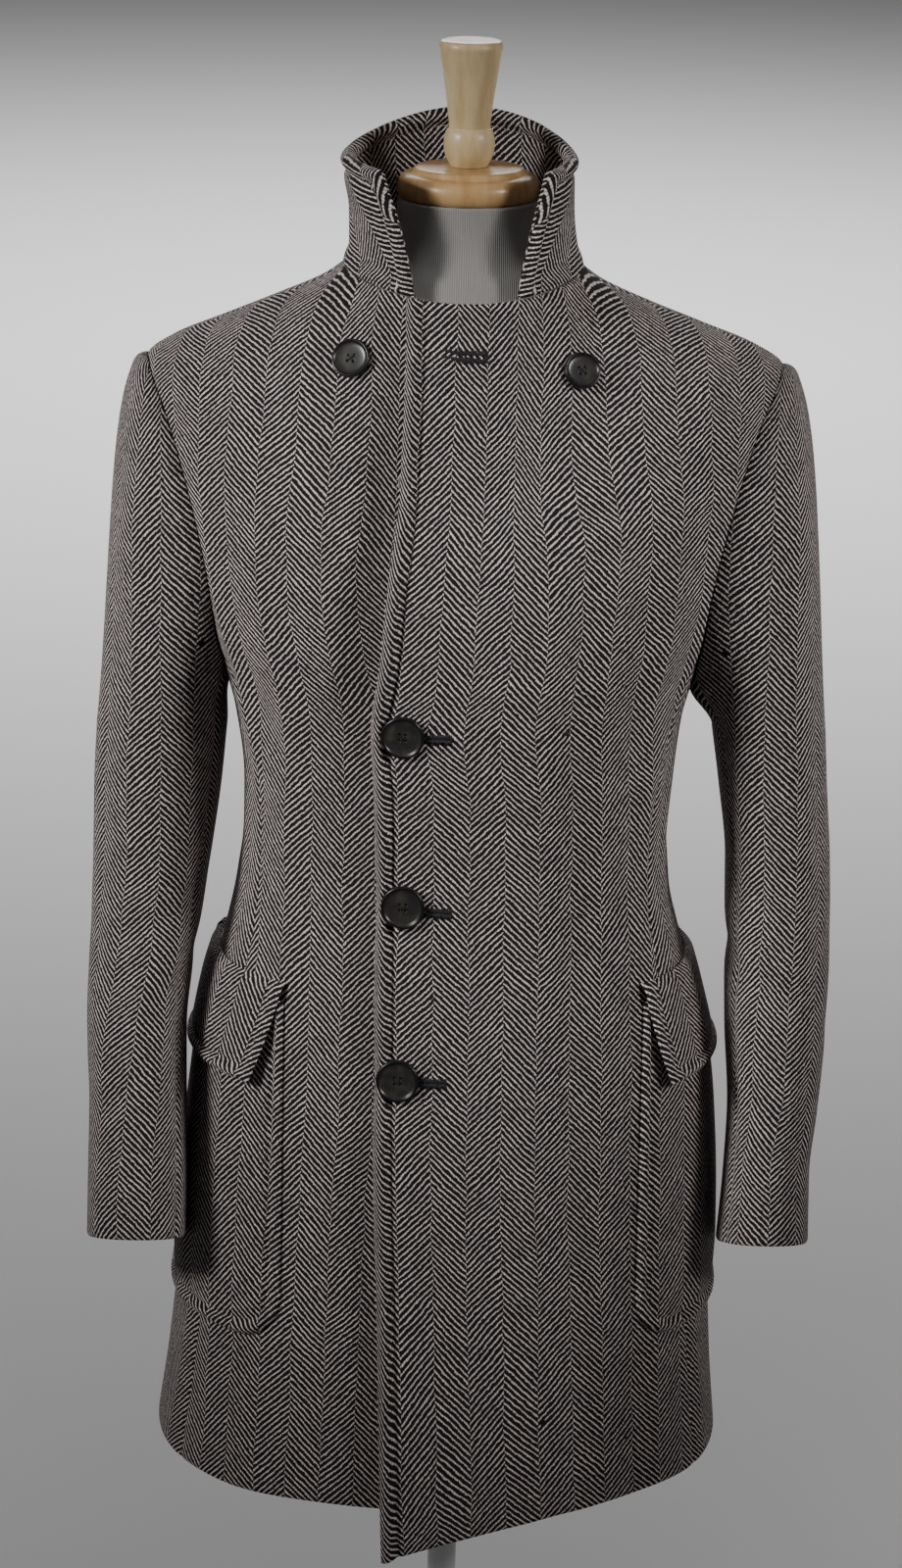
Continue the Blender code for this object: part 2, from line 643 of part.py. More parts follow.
def wall(name, outer, inner, colour=TWEED, roughness=0.95):
    """A thin piece: its outer face, its inner face and the rim between them."""
    rows, columns = outer.shape[:2]
    count = rows * columns
    points = np.concatenate([outer.reshape(-1, 3), inner.reshape(-1, 3)])
    index = np.arange(count).reshape(rows, columns)
    faces = []
    for row in range(rows - 1):
        for column in range(columns - 1):
            here, right = index[row, column], index[row, column + 1]
            above, across = index[row + 1, column], index[row + 1, column + 1]
            faces.append((here, right, across, above))
            faces.append((here + count, above + count, across + count, right + count))
    rim = [*index[0, :-1], *index[:-1, -1], *index[-1, :0:-1], *index[:0:-1, 0]]
    for here, after in zip(rim, rim[1:] + rim[:1]):
        faces.append((after, here, here + count, after + count))
    return make_object(name, points, faces, colour, roughness)


def rings(name, ring_points, colour, roughness):
    """A round body through closed rings, with its two ends filled."""
    rows, columns = ring_points.shape[:2]
    faces = []
    for row in range(rows - 1):
        for column in range(columns):
            after = (column + 1) % columns
            here = row * columns
            faces.append((here + column, here + after, here + columns + after, here + columns + column))
    faces.append(tuple(range(columns - 1, -1, -1)))
    faces.append(tuple(range((rows - 1) * columns, rows * columns)))
    return make_object(name, ring_points.reshape(-1, 3), faces, colour, roughness)


def turned(name, outline, segments, colour, roughness):
    """A piece turned round the upright axis."""
    angle = np.arange(segments) * 2 * math.pi / segments
    radius, height = np.array(outline, float).T
    points = np.stack([
        radius[:, None] * np.cos(angle),
        radius[:, None] * np.sin(angle),
        np.repeat(height[:, None], segments, axis=1),
    ], axis=-1)
    return rings(name, points, colour, roughness)


def torso():
    """The dress form: the coat's own surface moved in by the cloth and the room, then its neck."""
    angle = np.arange(TORSO_COLUMNS) * 2 * math.pi / TORSO_COLUMNS
    levels = np.concatenate([
        np.linspace(TORSO_FOOT, ARM_UNDER, 9),
        np.linspace(ARM_UNDER, ARM_TIP, 7)[1:],
        np.linspace(ARM_TIP, TORSO_SHOULDER, 7)[1:],
    ])
    room = {name: smooth(EASE["level"], EASE[name], levels)[:, None] for name in EASE_COLUMNS[1:]}
    ends = np.where(np.cos(angle) >= 0, room["front"], room["back"])
    room_at = room["side"] + (ends - room["side"]) * np.cos(angle) ** 2
    body = body_off(angle, np.repeat(levels[:, None], TORSO_COLUMNS, axis=1), -CLOTH - room_at)
    body[0, :, 2] = TORSO_FOOT
    height, half, depth, centre = np.array(FORM_NECK_ROWS, float).T[:, :, None]
    neck = np.stack(np.broadcast_arrays(
        half * np.sin(angle), centre - depth * np.cos(angle), height + 0 * angle,
    ), axis=-1)
    return rings("form_torso", np.concatenate([body, neck]), JERSEY, 0.9)


def button(name, across, level, radius, seat):
    """A rimmed button, square to the cloth that it is sewn on."""
    turn = turn_at_x(np.array(level), np.array(across))
    over = across > EDGE["edge_x"].min()
    lift = overlap_lift(across - radius) if over else 0.0
    middle = body_off(turn, np.array(level), np.array(lift + seat))
    out = Vector(body_normal(turn, np.array(level)))
    side = out.cross(Vector((0, 0, 1))).normalized()
    up = side.cross(out)
    angle = np.arange(BUTTON_SEGMENTS) * 2 * math.pi / BUTTON_SEGMENTS
    share, height = np.array(BUTTON_OUTLINE, float).T[:, :, None]
    points = middle + height[..., None] * np.array(out)
    points = points + radius * share[..., None] * np.cos(angle)[:, None] * np.array(side)
    points = points + radius * share[..., None] * np.sin(angle)[:, None] * np.array(up)
    return rings(name, points, HORN, 0.35)


def make_coat():
    for side, word in ((1, "left"), (-1, "right")):
        wall("front_" + word, front_grid(side, 0.0), front_grid(side, CLOTH))
        wall("side_" + word, side_grid(side, 0.0), side_grid(side, CLOTH))
        wall("back_" + word, back_grid(side, 0.0), back_grid(side, CLOTH))
        rows = table(SLEEVE_COLUMNS, (SLEEVE_LEFT_ROWS if side > 0 else SLEEVE_RIGHT_ROWS)[::-1])
        for part, first, last in (
            ("top", SLEEVE_SEAM_BACK - 360, SLEEVE_SEAM_FRONT),
            ("under", SLEEVE_SEAM_FRONT, SLEEVE_SEAM_BACK),
        ):
            outer = sleeve_grid(rows, side, first, last, 0.0)
            inner = sleeve_grid(rows, side, first, last, CLOTH)
            wall("sleeve_" + word + "_" + part, outer, inner)
    wall("collar_under", collar_grid(COLLAR_LAYER), collar_grid(0.0))
    wall("collar_top", collar_grid(-SEAM_GAP), collar_grid(-SEAM_GAP - COLLAR_LAYER))
    for side, patch_x, flap_top_x, flap_low_x, patch_back, flap_back in POCKET_ROWS:
        word = "left" if side > 0 else "right"
        near = pocket_grid(side, patch_x, patch_back, POCKET_SEAT)
        far = pocket_grid(side, patch_x, patch_back, POCKET_SEAT + CLOTH)
        wall("pocket_" + word, far, near)
        near = flap_grid(side, flap_top_x, flap_low_x, flap_back, 0.0)
        far = flap_grid(side, flap_top_x, flap_low_x, flap_back, CLOTH)
        wall("flap_" + word, far, near)
    for name, row in BUTTON_ROWS.items():
        button(name, *row)


def make_form():
    torso()
    turned("form_neck_cap", CAP_OUTLINE, TURNED_SEGMENTS, CAP_WOOD, 0.25)
    turned("form_finial", FINIAL_OUTLINE, TURNED_SEGMENTS, FINIAL_WOOD, 0.3)
    pole = [(POLE_RADIUS, POLE_FOOT), (POLE_RADIUS, TORSO_FOOT - PART_GAP)]
    turned("form_pole", pole, POLE_SEGMENTS, WHITE_PAINT, 0.4)
    turned("form_base", BASE_OUTLINE, TURNED_SEGMENTS, WHITE_PAINT, 0.4)


for leftover in list(bpy.data.objects):
    bpy.data.objects.remove(leftover)
make_coat()
make_form()
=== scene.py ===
# %% [markdown]
# # A herringbone overcoat on a dress form
#
# The coat is cut from a heavy wool tweed, fastened to one side over three horn buttons, with its collar
# turned up. It hangs on a limbless dress form with a turned wooden neck. The CAD model gives each cut
# piece as a plain thin solid. Here each one becomes a fine sheet of cloth on the same surface, with its
# seams, turned edges, soft creases and weave, and the buttons and the form get their finish.

# %% Load the frame
import math

import bmesh
import bpy
import numpy as np
from mathutils import Matrix, Vector


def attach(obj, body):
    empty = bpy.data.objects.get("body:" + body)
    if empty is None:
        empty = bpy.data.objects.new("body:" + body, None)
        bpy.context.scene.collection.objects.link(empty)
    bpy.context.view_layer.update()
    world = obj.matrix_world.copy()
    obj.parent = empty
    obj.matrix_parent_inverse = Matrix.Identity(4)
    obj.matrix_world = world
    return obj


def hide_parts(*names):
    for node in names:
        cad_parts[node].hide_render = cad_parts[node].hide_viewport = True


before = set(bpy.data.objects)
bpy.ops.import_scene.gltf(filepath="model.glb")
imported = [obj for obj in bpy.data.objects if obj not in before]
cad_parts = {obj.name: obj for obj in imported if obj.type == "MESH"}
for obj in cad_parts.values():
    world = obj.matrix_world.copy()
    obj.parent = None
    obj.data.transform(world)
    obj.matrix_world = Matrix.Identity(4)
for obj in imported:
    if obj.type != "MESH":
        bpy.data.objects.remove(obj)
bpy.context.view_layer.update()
scene = bpy.context.scene

# %% [markdown]
# ## Camera and studio
#
# The picture was taken from a little above, with the camera tipped down and hardly turned on its axis.
# A long lens keeps the upright lines upright. A soft lamp on each side near the chest and one overhead
# stand in for the studio lamps, so the light falls off towards the hem. A wide pale floor also fills the
# background, because the camera looks down, and it has a lamp of its own behind the coat.

# %% Camera
CAMERA_PLACE = Vector((-0.0042, -3.2, 1.9183))
CAMERA_TILT = math.radians(73.0)
CAMERA_ROLL = math.radians(1.1)
SENSOR_LONG_SIDE = 24.0
LENS = 69.765

camera = bpy.data.objects.new("camera", bpy.data.cameras.new("camera"))
camera.data.sensor_width = SENSOR_LONG_SIDE
camera.data.lens = LENS
tilt_and_roll = Matrix.Rotation(CAMERA_TILT, 4, "X") @ Matrix.Rotation(CAMERA_ROLL, 4, "Z")
camera.matrix_world = Matrix.Translation(CAMERA_PLACE) @ tilt_and_roll
scene.collection.objects.link(camera)
scene.camera = camera
print("camera at", tuple(round(x, 3) for x in CAMERA_PLACE))

# %% Floor and lights
FLOOR_HALF = 40.0
FLOOR_COLOUR = (0.55, 0.54, 0.54)
FLOOR_ROUGHNESS = 0.9
AIR_COLOUR = (0.80, 0.80, 0.82, 1.0)
AIR_STRENGTH = 0.080

# One row a lamp: name, place, where it points, side of the square, width of its beam in degrees, power
LAMPS = [
    ("lamp_left", (-2.00, -1.30, 2.15), (0.06, -0.1, 0.99), 0.6, 31.0, 2.8),
    ("lamp_right", (1.95, -1.25, 2.10), (-0.12, -0.05, 0.97), 0.6, 30.0, 1.65),
    ("lamp_top", (0.0, -0.7, 2.9), (0.0, 0.0, 1.2), 0.8, 180.0, 1.6),
    ("lamp_floor", (0.0, 6.2, 3.4), (0.0, 6.2, 0.0), 4.0, 180.0, 440.0),
]


def plain_material(name, colour, roughness):
    """A material of one colour, whose shader later cells may add to."""
    material = bpy.data.materials.new(name)
    material.use_nodes = True
    shader = material.node_tree.nodes["Principled BSDF"]
    shader.inputs["Base Color"].default_value = (*colour, 1.0)
    shader.inputs["Roughness"].default_value = roughness
    return material


def linked(name, mesh):
    """The mesh as a new object of the scene."""
    piece = bpy.data.objects.new(name, mesh)
    scene.collection.objects.link(piece)
    return piece


bm = bmesh.new()
bmesh.ops.create_grid(bm, x_segments=1, y_segments=1, size=FLOOR_HALF)
floor_mesh = bpy.data.meshes.new("floor")
bm.to_mesh(floor_mesh)
bm.free()
floor_mesh.materials.append(plain_material("floor", FLOOR_COLOUR, FLOOR_ROUGHNESS))
linked("floor", floor_mesh)

for name, place, target, size, beam, power in LAMPS:
    lamp = bpy.data.objects.new(name, bpy.data.lights.new(name, "AREA"))
    lamp.data.size = size
    lamp.data.spread = math.radians(beam)
    lamp.data.energy = power
    lamp.location = place
    lamp.rotation_euler = (Vector(target) - Vector(place)).to_track_quat("-Z", "Y").to_euler()
    scene.collection.objects.link(lamp)

scene.world = bpy.data.worlds.new("studio")
scene.world.use_nodes = True
air = scene.world.node_tree.nodes["Background"]
air.inputs["Color"].default_value = AIR_COLOUR
air.inputs["Strength"].default_value = AIR_STRENGTH
print(len(LAMPS), "lamps")

# %% [markdown]
# ## The coat's surface
#
# A tailor's coat is shaped by seams and steam, and its outside is one smooth surface that the cut pieces
# share. The tables below follow those of the CAD model: rings round the body from hem to neck, the seams of
# the side panels, the overlapping edge and the skirt's long folds. So every sheet of cloth lies on its own
# solid. Only the tip of the shoulder is a little rounder here, as the fine sheets can follow it.

# %% Sizes of the cloth and the body
CLOTH = 0.0025
SEAM_GAP = 0.0001
LAY_GAP = 0.0012
OVERLAP_LIFT = CLOTH + LAY_GAP
OVERLAP_START_X = 0.060
OVERLAP_END_X = 0.092
UNDER_EDGE_X = 0.048

HEM = 0.443
NECK = 1.326
ARM_UNDER = 1.018
ARM_TIP = 1.258
ARM_FRONT_REACH = 0.068
ARM_BACK_REACH = 0.076
ARM_EGG = 0.12
SIDE_SEAM_FRONT = 135.0
SIDE_SEAM_BACK = 225.0
SOLVE_STEPS = 40
SOLVE_LIMIT = math.radians(88.0)
NUDGE = 0.001
WORD = {1: "left", -1: "right"}


def table(names, rows):
    """The rows as one array a column, by the column's name. The others are read along the first."""
    return dict(zip(names, np.array(rows, float).T))


BODY = table(("level", "right", "left", "front", "back", "front_drop", "back_drop", "square"), [
    (0.443, 0.218, 0.205, 0.163, 0.160, 0.011, 0.004, 2.7),
    (0.500, 0.210, 0.200, 0.160, 0.153, 0.008, 0.003, 2.6),
    (0.560, 0.204, 0.197, 0.156, 0.147, 0.005, 0.002, 2.5),
    (0.630, 0.199, 0.196, 0.150, 0.141, 0.000, 0.000, 2.3),
    (0.700, 0.192, 0.192, 0.145, 0.135, 0.000, 0.000, 2.3),
    (0.750, 0.186, 0.186, 0.140, 0.129, 0.000, 0.000, 2.3),
    (0.790, 0.180, 0.178, 0.136, 0.123, 0.000, 0.000, 2.3),
    (0.830, 0.169, 0.167, 0.132, 0.115, 0.000, 0.000, 2.3),
    (0.870, 0.161, 0.158, 0.129, 0.109, 0.000, 0.000, 2.3),
    (0.910, 0.157, 0.156, 0.128, 0.107, 0.000, 0.000, 2.3),
    (0.950, 0.156, 0.158, 0.130, 0.111, 0.000, 0.000, 2.3),
    (1.000, 0.162, 0.163, 0.134, 0.120, 0.002, 0.000, 2.3),
    (1.030, 0.170, 0.171, 0.136, 0.125, 0.004, 0.002, 2.3),
    (1.070, 0.187, 0.187, 0.137, 0.129, 0.010, 0.006, 2.3),
    (1.120, 0.201, 0.201, 0.137, 0.130, 0.026, 0.016, 2.25),
    (1.180, 0.216, 0.216, 0.134, 0.128, 0.050, 0.032, 2.1),
    (1.230, 0.226, 0.226, 0.128, 0.122, 0.072, 0.048, 1.9),
    (1.246, 0.2285, 0.229, 0.124, 0.118, 0.077, 0.053, 1.82),
    (1.258, 0.2262, 0.227, 0.121, 0.114, 0.078, 0.054, 1.77),
    (1.271, 0.2085, 0.2085, 0.117, 0.109, 0.073, 0.049, 1.76),
    (1.285, 0.175, 0.173, 0.112, 0.101, 0.061, 0.038, 1.8),
    (1.300, 0.138, 0.133, 0.105, 0.092, 0.044, 0.020, 1.9),
    (1.315, 0.103, 0.098, 0.098, 0.083, 0.025, 0.002, 2.0),
    (1.326, 0.087, 0.082, 0.093, 0.077, 0.011, -0.012, 2.0),
])

SEAMS = table(("level", "front_seam", "back_seam"), [
    (0.443, 64.0, 117.0),
    (0.700, 64.0, 116.0),
    (0.910, 65.0, 115.0),
    (1.000, 69.0, 112.0),
])

EDGE = table(("level", "edge_x"), [
    (0.443, -0.044),
    (0.560, -0.049),
    (0.700, -0.054),
    (0.850, -0.055),
    (1.000, -0.056),
    (1.120, -0.052),
    (1.230, -0.045),
    (1.326, -0.038),
])

# Long soft folds of the skirt: angle, half-width in degrees, height at the hem, level where it dies
FOLD_ROWS = [
    (33.0, 9.0, 0.0050, 0.72),
    (50.0, 9.0, -0.0020, 0.66),
    (-46.0, 10.0, 0.0035, 0.64),
    (-140.0, 12.0, 0.0080, 0.80),
    (-162.0, 9.0, -0.0060, 0.74),
    (148.0, 12.0, 0.0075, 0.78),
    (168.0, 8.0, -0.0055, 0.72),
]

HEM_DIP = 0.036
HEM_SWING = 0.008
HEM_DIP_END_X = 0.118
HEM_DIP_TOP = 0.60
HEM_DIP_POWER = 1.4


print(len(BODY["level"]), "rings round the body")

# %% Smooth lines and the body's outer face


def cubic(part, start, leave, end, arrive):
    """A curve from start to end as part goes from 0 to 1, with these slopes at its two ends."""
    rest = 1 - part
    near = (1 + 2 * part) * rest**2 * start + part * rest**2 * leave
    return near + (1 + 2 * rest) * part**2 * end - rest * part**2 * arrive


def smooth(knots, values, where):
    """A smooth line through the values that never overshoots them."""
    gaps = np.diff(knots)
    slopes = np.diff(values) / gaps
    before, after = slopes[:-1], slopes[1:]
    same_way = before * after > 0
    weight_before = 2 * gaps[1:] + gaps[:-1]
    weight_after = gaps[1:] + 2 * gaps[:-1]
    mean = (weight_before + weight_after) / (
        weight_before / np.where(same_way, before, 1.0) + weight_after / np.where(same_way, after, 1.0)
    )
    tangents = np.concatenate([slopes[:1], np.where(same_way, mean, 0.0), slopes[-1:]])
    where = np.clip(where, knots[0], knots[-1])
    cell = np.clip(np.searchsorted(knots, where, side="right") - 1, 0, len(gaps) - 1)
    width = gaps[cell]
    part = (where - knots[cell]) / width
    return cubic(part, values[cell], width * tangents[cell], values[cell + 1], width * tangents[cell + 1])


def read(columns, where):
    """A table's other columns, read smoothly at places along its first one."""
    first, *others = columns
    return {name: smooth(columns[first], columns[name], where) for name in others}


def ease_in(start, end, where):
    """0 at the start, 1 at the end, smooth at both."""
    part = np.clip((where - start) / (end - start), 0.0, 1.0)
    return part * part * (3 - 2 * part)


def bump_at(centre, half_width, where):
    """1 at the centre, fading to nothing about two half-widths away."""
    return np.exp(-(((where - centre) / half_width) ** 2))


def half_turn(degrees):
    """The same angle, between -180 and 180 degrees."""
    return (degrees + 180.0) % 360.0 - 180.0


def unit(vectors):
    return vectors / np.linalg.norm(vectors, axis=-1, keepdims=True)


def body_point(turn, level):
    """The coat's outer surface: turn is the angle from the centre front towards the wearer's left."""
    turn, level = np.broadcast_arrays(np.asarray(turn, float), np.asarray(level, float))
    column = read(BODY, level)
    in_front = np.cos(turn) >= 0
    half = np.where(np.sin(turn) >= 0, column["left"], column["right"])
    depth = np.where(in_front, column["front"], column["back"])
    drop = np.where(in_front, column["front_drop"], column["back_drop"])
    across = np.abs(np.sin(turn)) / half
    along = np.abs(np.cos(turn)) / depth
    reach = (across ** column["square"] + along ** column["square"]) ** (-1 / column["square"])
    for angle, spread, rise, top in FOLD_ROWS:
        fold = rise * bump_at(0.0, spread, half_turn(np.degrees(turn) - angle))
        reach = reach + fold * ease_in(top, HEM, level)
    height = level - drop * np.cos(turn) ** 2
    return np.stack([reach * np.sin(turn), -reach * np.cos(turn), height], axis=-1)


def body_normal(turn, level):
    """The way out of the surface, from small steps round and up."""
    sideways = body_point(turn + NUDGE, level) - body_point(turn - NUDGE, level)
    upwards = body_point(turn, level + NUDGE) - body_point(turn, level - NUDGE)
    return unit(np.cross(sideways, upwards))


def body_off(turn, level, lift):
    """The outer surface moved out by lift."""
    return body_point(turn, level) + body_normal(turn, level) * np.asarray(lift, float)[..., None]


def turn_where(level, target, axis, low, high):
    """The angle at which the ring at this level has this x or y."""
    level, target = np.broadcast_arrays(np.asarray(level, float), np.asarray(target, float))
    low = np.full(level.shape, float(low))
    high = np.full(level.shape, float(high))
    for _ in range(SOLVE_STEPS):
        middle = (low + high) / 2
        below = body_point(middle, level)[..., axis] < target
        low = np.where(below, middle, low)
        high = np.where(below, high, middle)
    return (low + high) / 2


def turn_at_x(level, across):
    """The angle in front at which the ring at this level has this x."""
    return turn_where(level, across, 0, -SOLVE_LIMIT, SOLVE_LIMIT)


ARM_ANGLES = np.arange(0.0, 360.5, 0.5)


def armhole_level(angle):
    return (ARM_TIP + ARM_UNDER) / 2 + (ARM_TIP - ARM_UNDER) / 2 * np.cos(np.radians(angle))


arm_sine = np.sin(np.radians(ARM_ANGLES))
arm_reach = np.where(arm_sine >= 0, -ARM_FRONT_REACH, ARM_BACK_REACH)
arm_depth = arm_reach * np.abs(arm_sine) * (1 - ARM_EGG * np.cos(np.radians(ARM_ANGLES)))
ARM_TURNS = turn_where(armhole_level(ARM_ANGLES), arm_depth, 1, 0.0, math.pi)


def armhole(angle):
    """Level and turn (on the wearer's left) round the armhole: 0 at the shoulder, 90 in front."""
    angle = np.asarray(angle, float)
    return armhole_level(angle), np.interp(angle, ARM_ANGLES, ARM_TURNS)


def seam_turn(name, arm_angle, level):
    """Angle of a side-panel seam, which ends on the armhole."""
    end_level, end_turn = armhole(arm_angle)
    knots = np.append(SEAMS["level"], end_level)
    values = np.append(np.radians(SEAMS[name]), end_turn)
    return smooth(knots, values, level)


def half_seam(level):
    """Half a seam's gap, as an angle."""
    return SEAM_GAP / 2 / read(BODY, level)["left"]


def overlap_edge(level):
    """The x of the overlapping front's edge."""
    return read(EDGE, level)["edge_x"]


def overlap_lift(across):
    """How far the overlapping front is lifted by the front beneath it."""
    return OVERLAP_LIFT * (1 - ease_in(OVERLAP_START_X, OVERLAP_END_X, across))


def drape_hem(points):
    """Lets the corner of the overlapping front hang lower and swing forward."""
    share = np.clip((HEM_DIP_END_X - points[..., 0]) / (HEM_DIP_END_X - EDGE["edge_x"][0]), 0, 1)
    share = share**HEM_DIP_POWER
    fade = ease_in(HEM_DIP_TOP, HEM, points[..., 2]) * (points[..., 1] < 0)
    points[..., 2] -= HEM_DIP * share * fade
    points[..., 1] -= HEM_SWING * share * fade
    return points


print("armholes from", ARM_UNDER, "to", ARM_TIP, "m")

# %% [markdown]
# ## How the weave lies
#
# Herringbone shows how a garment was cut. Its columns run with the grain, down the fronts beside the
# overlapping edge, and are cut off at the seams. So each sheet carries a map in real metres, across and
# along the grain. On the body the map is measured once over the whole surface. At each place the grain
# points up in the plane that faces the side, so on the shoulders it turns over towards the other side of
# the body. A step round a ring is then split into its share along the grain and its share across.

# %% Map of the grain on the body
GRAIN_STEP = 2.0
GRAIN_TURNS = np.radians(np.arange(-180.0, 180.0 + GRAIN_STEP, GRAIN_STEP))
GRAIN_ROWS = 221
GRAIN_LEVELS = np.linspace(HEM, NECK, GRAIN_ROWS)
SOFT_ROWS = 9
SHOULDER_FACING_UP = (0.5, 0.8)

grain_surface = body_point(GRAIN_TURNS[None, :], GRAIN_LEVELS[:, None])
grain_normals = body_normal(GRAIN_TURNS[None, :], GRAIN_LEVELS[:, None])
CENTRE_FRONT = len(GRAIN_TURNS) // 2


def softened(values):
    """Each row averaged with its neighbours, so the roll of the shoulder turns the grain gently."""
    weights = bump_at(0.0, SOFT_ROWS, np.arange(-2 * SOFT_ROWS, 2 * SOFT_ROWS + 1))
    padded = np.pad(values, ((2 * SOFT_ROWS, 2 * SOFT_ROWS), (0, 0), (0, 0)), mode="edge")
    rows = [weight * padded[row : row + len(values)] for row, weight in enumerate(weights)]
    return np.sum(rows, axis=0) / weights.sum()


def grain_map(way, middle):
    """Across and up on a front (way 1) or a back (way -1), from the upright line at column middle."""
    faced = unit(softened((grain_normals[:, 1:] + grain_normals[:, :-1]) / 2))
    facing_side = np.hypot(faced[..., 0], faced[..., 1])
    lean = np.abs(faced[..., 1]) / facing_side
    lean = lean + (1 - lean) * ease_in(*SHOULDER_FACING_UP, faced[..., 2])
    towards = np.stack([np.zeros(lean.shape), way * faced[..., 2] * lean, facing_side], axis=-1)
    steps = np.diff(grain_surface, axis=1)
    ring_up = (steps * unit(towards)).sum(axis=-1)
    ring_across = np.sqrt(np.maximum((steps**2).sum(axis=-1) - ring_up**2, 0))
    across, up = (np.pad(np.cumsum(part, axis=1), ((0, 0), (1, 0))) for part in (ring_across, ring_up))
    line = np.diff(grain_surface[:, middle], axis=0)
    along = np.concatenate([[0], np.cumsum(np.hypot(line[:, 1], line[:, 2]))])
    return across - across[:, [middle]], up - up[:, [middle]] + along[:, None]


FRONT_GRAIN = grain_map(1, CENTRE_FRONT)
BACK_GRAIN = {1: grain_map(-1, -1), -1: grain_map(-1, 0)}


def body_grain(turn, level, maps=FRONT_GRAIN):
    """Metres across the grain from the map's upright line, and up from the hem."""
    turn, level = np.broadcast_arrays(turn, level)
    column = (np.degrees(turn) + 180.0) / GRAIN_STEP
    row = (level - HEM) / (NECK - HEM) * (GRAIN_ROWS - 1)
    left = np.clip(np.floor(column).astype(int), 0, len(GRAIN_TURNS) - 2)
    below = np.clip(np.floor(row).astype(int), 0, GRAIN_ROWS - 2)
    right_part, up_part = column - left, row - below
    found = []
    for values in maps:
        low = values[below, left] * (1 - right_part) + values[below, left + 1] * right_part
        high = values[below + 1, left] * (1 - right_part) + values[below + 1, left + 1] * right_part
        found.append(low * (1 - up_part) + high * up_part)
    return np.stack(found, axis=-1)


print("hem girth", round(float(np.ptp(FRONT_GRAIN[0][0])), 3), "m")

# %% [markdown]
# ## The tweed
#
# A herringbone is a twill whose slope turns over every few dozen threads. Each turn is cut: the threads
# step by half a repeat there, so that a pale line meets a dark one and the border reads as a fine line. The
# shader works that out from the map. A triangle wave across the columns gives the zigzag, a sine up it
# gives pale and dark lines, and the pale lines break into beads where one yarn dips under the next. Noise
# lets the columns wander as hand-finished tweed does. Sparse dark knots are slubs of the yarn.

# %% Sizes of the weave
COLUMN_WIDTH = 0.0249
LINE_PITCH = 0.0049
LINE_RISE = 5.0
BEAD_LENGTH = 0.0016

# How far the columns wander, the lines ripple and the fibres shift, in metres, and how frayed the lines are
WANDER = 0.0060
RIPPLE = 0.0026
FIBRE_SHIFT = 0.0010
FRAY = 1.3

# The wave's values between which dark turns pale, and how dark the dip between two beads is
PALE_STEP = (0.17, 0.96)
BEAD_STEP = (0.0, 0.8, 0.40, 1.0)

# Slubs of dark yarn: cells to the metre, rim of a knot in cells, share of the cells without one
KNOT_SCALE = 15.0
KNOT_RIM = (0.030, 0.048)
KNOT_FREE = 0.72
NAP_HEIGHT = 0.0007
PALE_YARN = (0.86, 0.760, 0.722, 1.0)
PALE_YARN_COOL = (0.72, 0.638, 0.622, 1.0)
DARK_YARN = (0.0165, 0.0132, 0.0134, 1.0)


class Nodes:
    """Short words for wiring a material."""

    def __init__(self, material):
        self.tree = material.node_tree
        self.shader = self.tree.nodes["Principled BSDF"]

    def add(self, kind, settings=None, **inputs):
        node = self.tree.nodes.new(kind)
        for name, value in (settings or {}).items():
            setattr(node, name, value)
        for name, value in inputs.items():
            self.feed(node.inputs[name.replace("_", " ")], value)
        return node

    def feed(self, socket, value):
        if isinstance(value, bpy.types.NodeSocket):
            self.tree.links.new(value, socket)
        else:
            socket.default_value = value

    def sum(self, operation, *values):
        node = self.tree.nodes.new("ShaderNodeMath")
        node.operation = operation
        for socket, value in zip(node.inputs, values):
            self.feed(socket, value)
        return node.outputs[0]

    def mix(self, share, first, second):
        node = self.tree.nodes.new("ShaderNodeMix")
        node.data_type = "RGBA"
        self.feed(node.inputs[0], share)
        self.feed(node.inputs[6], first)
        self.feed(node.inputs[7], second)
        return node.outputs[2]

    def step(self, value, low, high, to_low=0.0, to_high=1.0):
        node = self.tree.nodes.new("ShaderNodeMapRange")
        node.interpolation_type = "SMOOTHSTEP"
        for socket, number in zip(node.inputs, (value, low, high, to_low, to_high)):
            self.feed(socket, number)
        return node.outputs[0]

    def noise(self, vector, scale, detail=1.0, roughness=0.5):
        return self.add("ShaderNodeTexNoise", Vector=vector, Scale=scale, Detail=detail, Roughness=roughness)

    def jitter(self, value, noise, amount):
        """The value, pushed either way by a noise."""
        return self.sum("MULTIPLY_ADD", self.sum("SUBTRACT", noise, 0.5), amount, value)

    def set(self, **values):
        """Plain numbers on the shader's own sockets."""
        for name, value in values.items():
            self.shader.inputs[name.replace("_", " ")].default_value = value

    def bump(self, height, strength, distance):
        node = self.add("ShaderNodeBump", Strength=strength, Distance=distance, Height=height)
        self.feed(self.shader.inputs["Normal"], node.outputs[0])


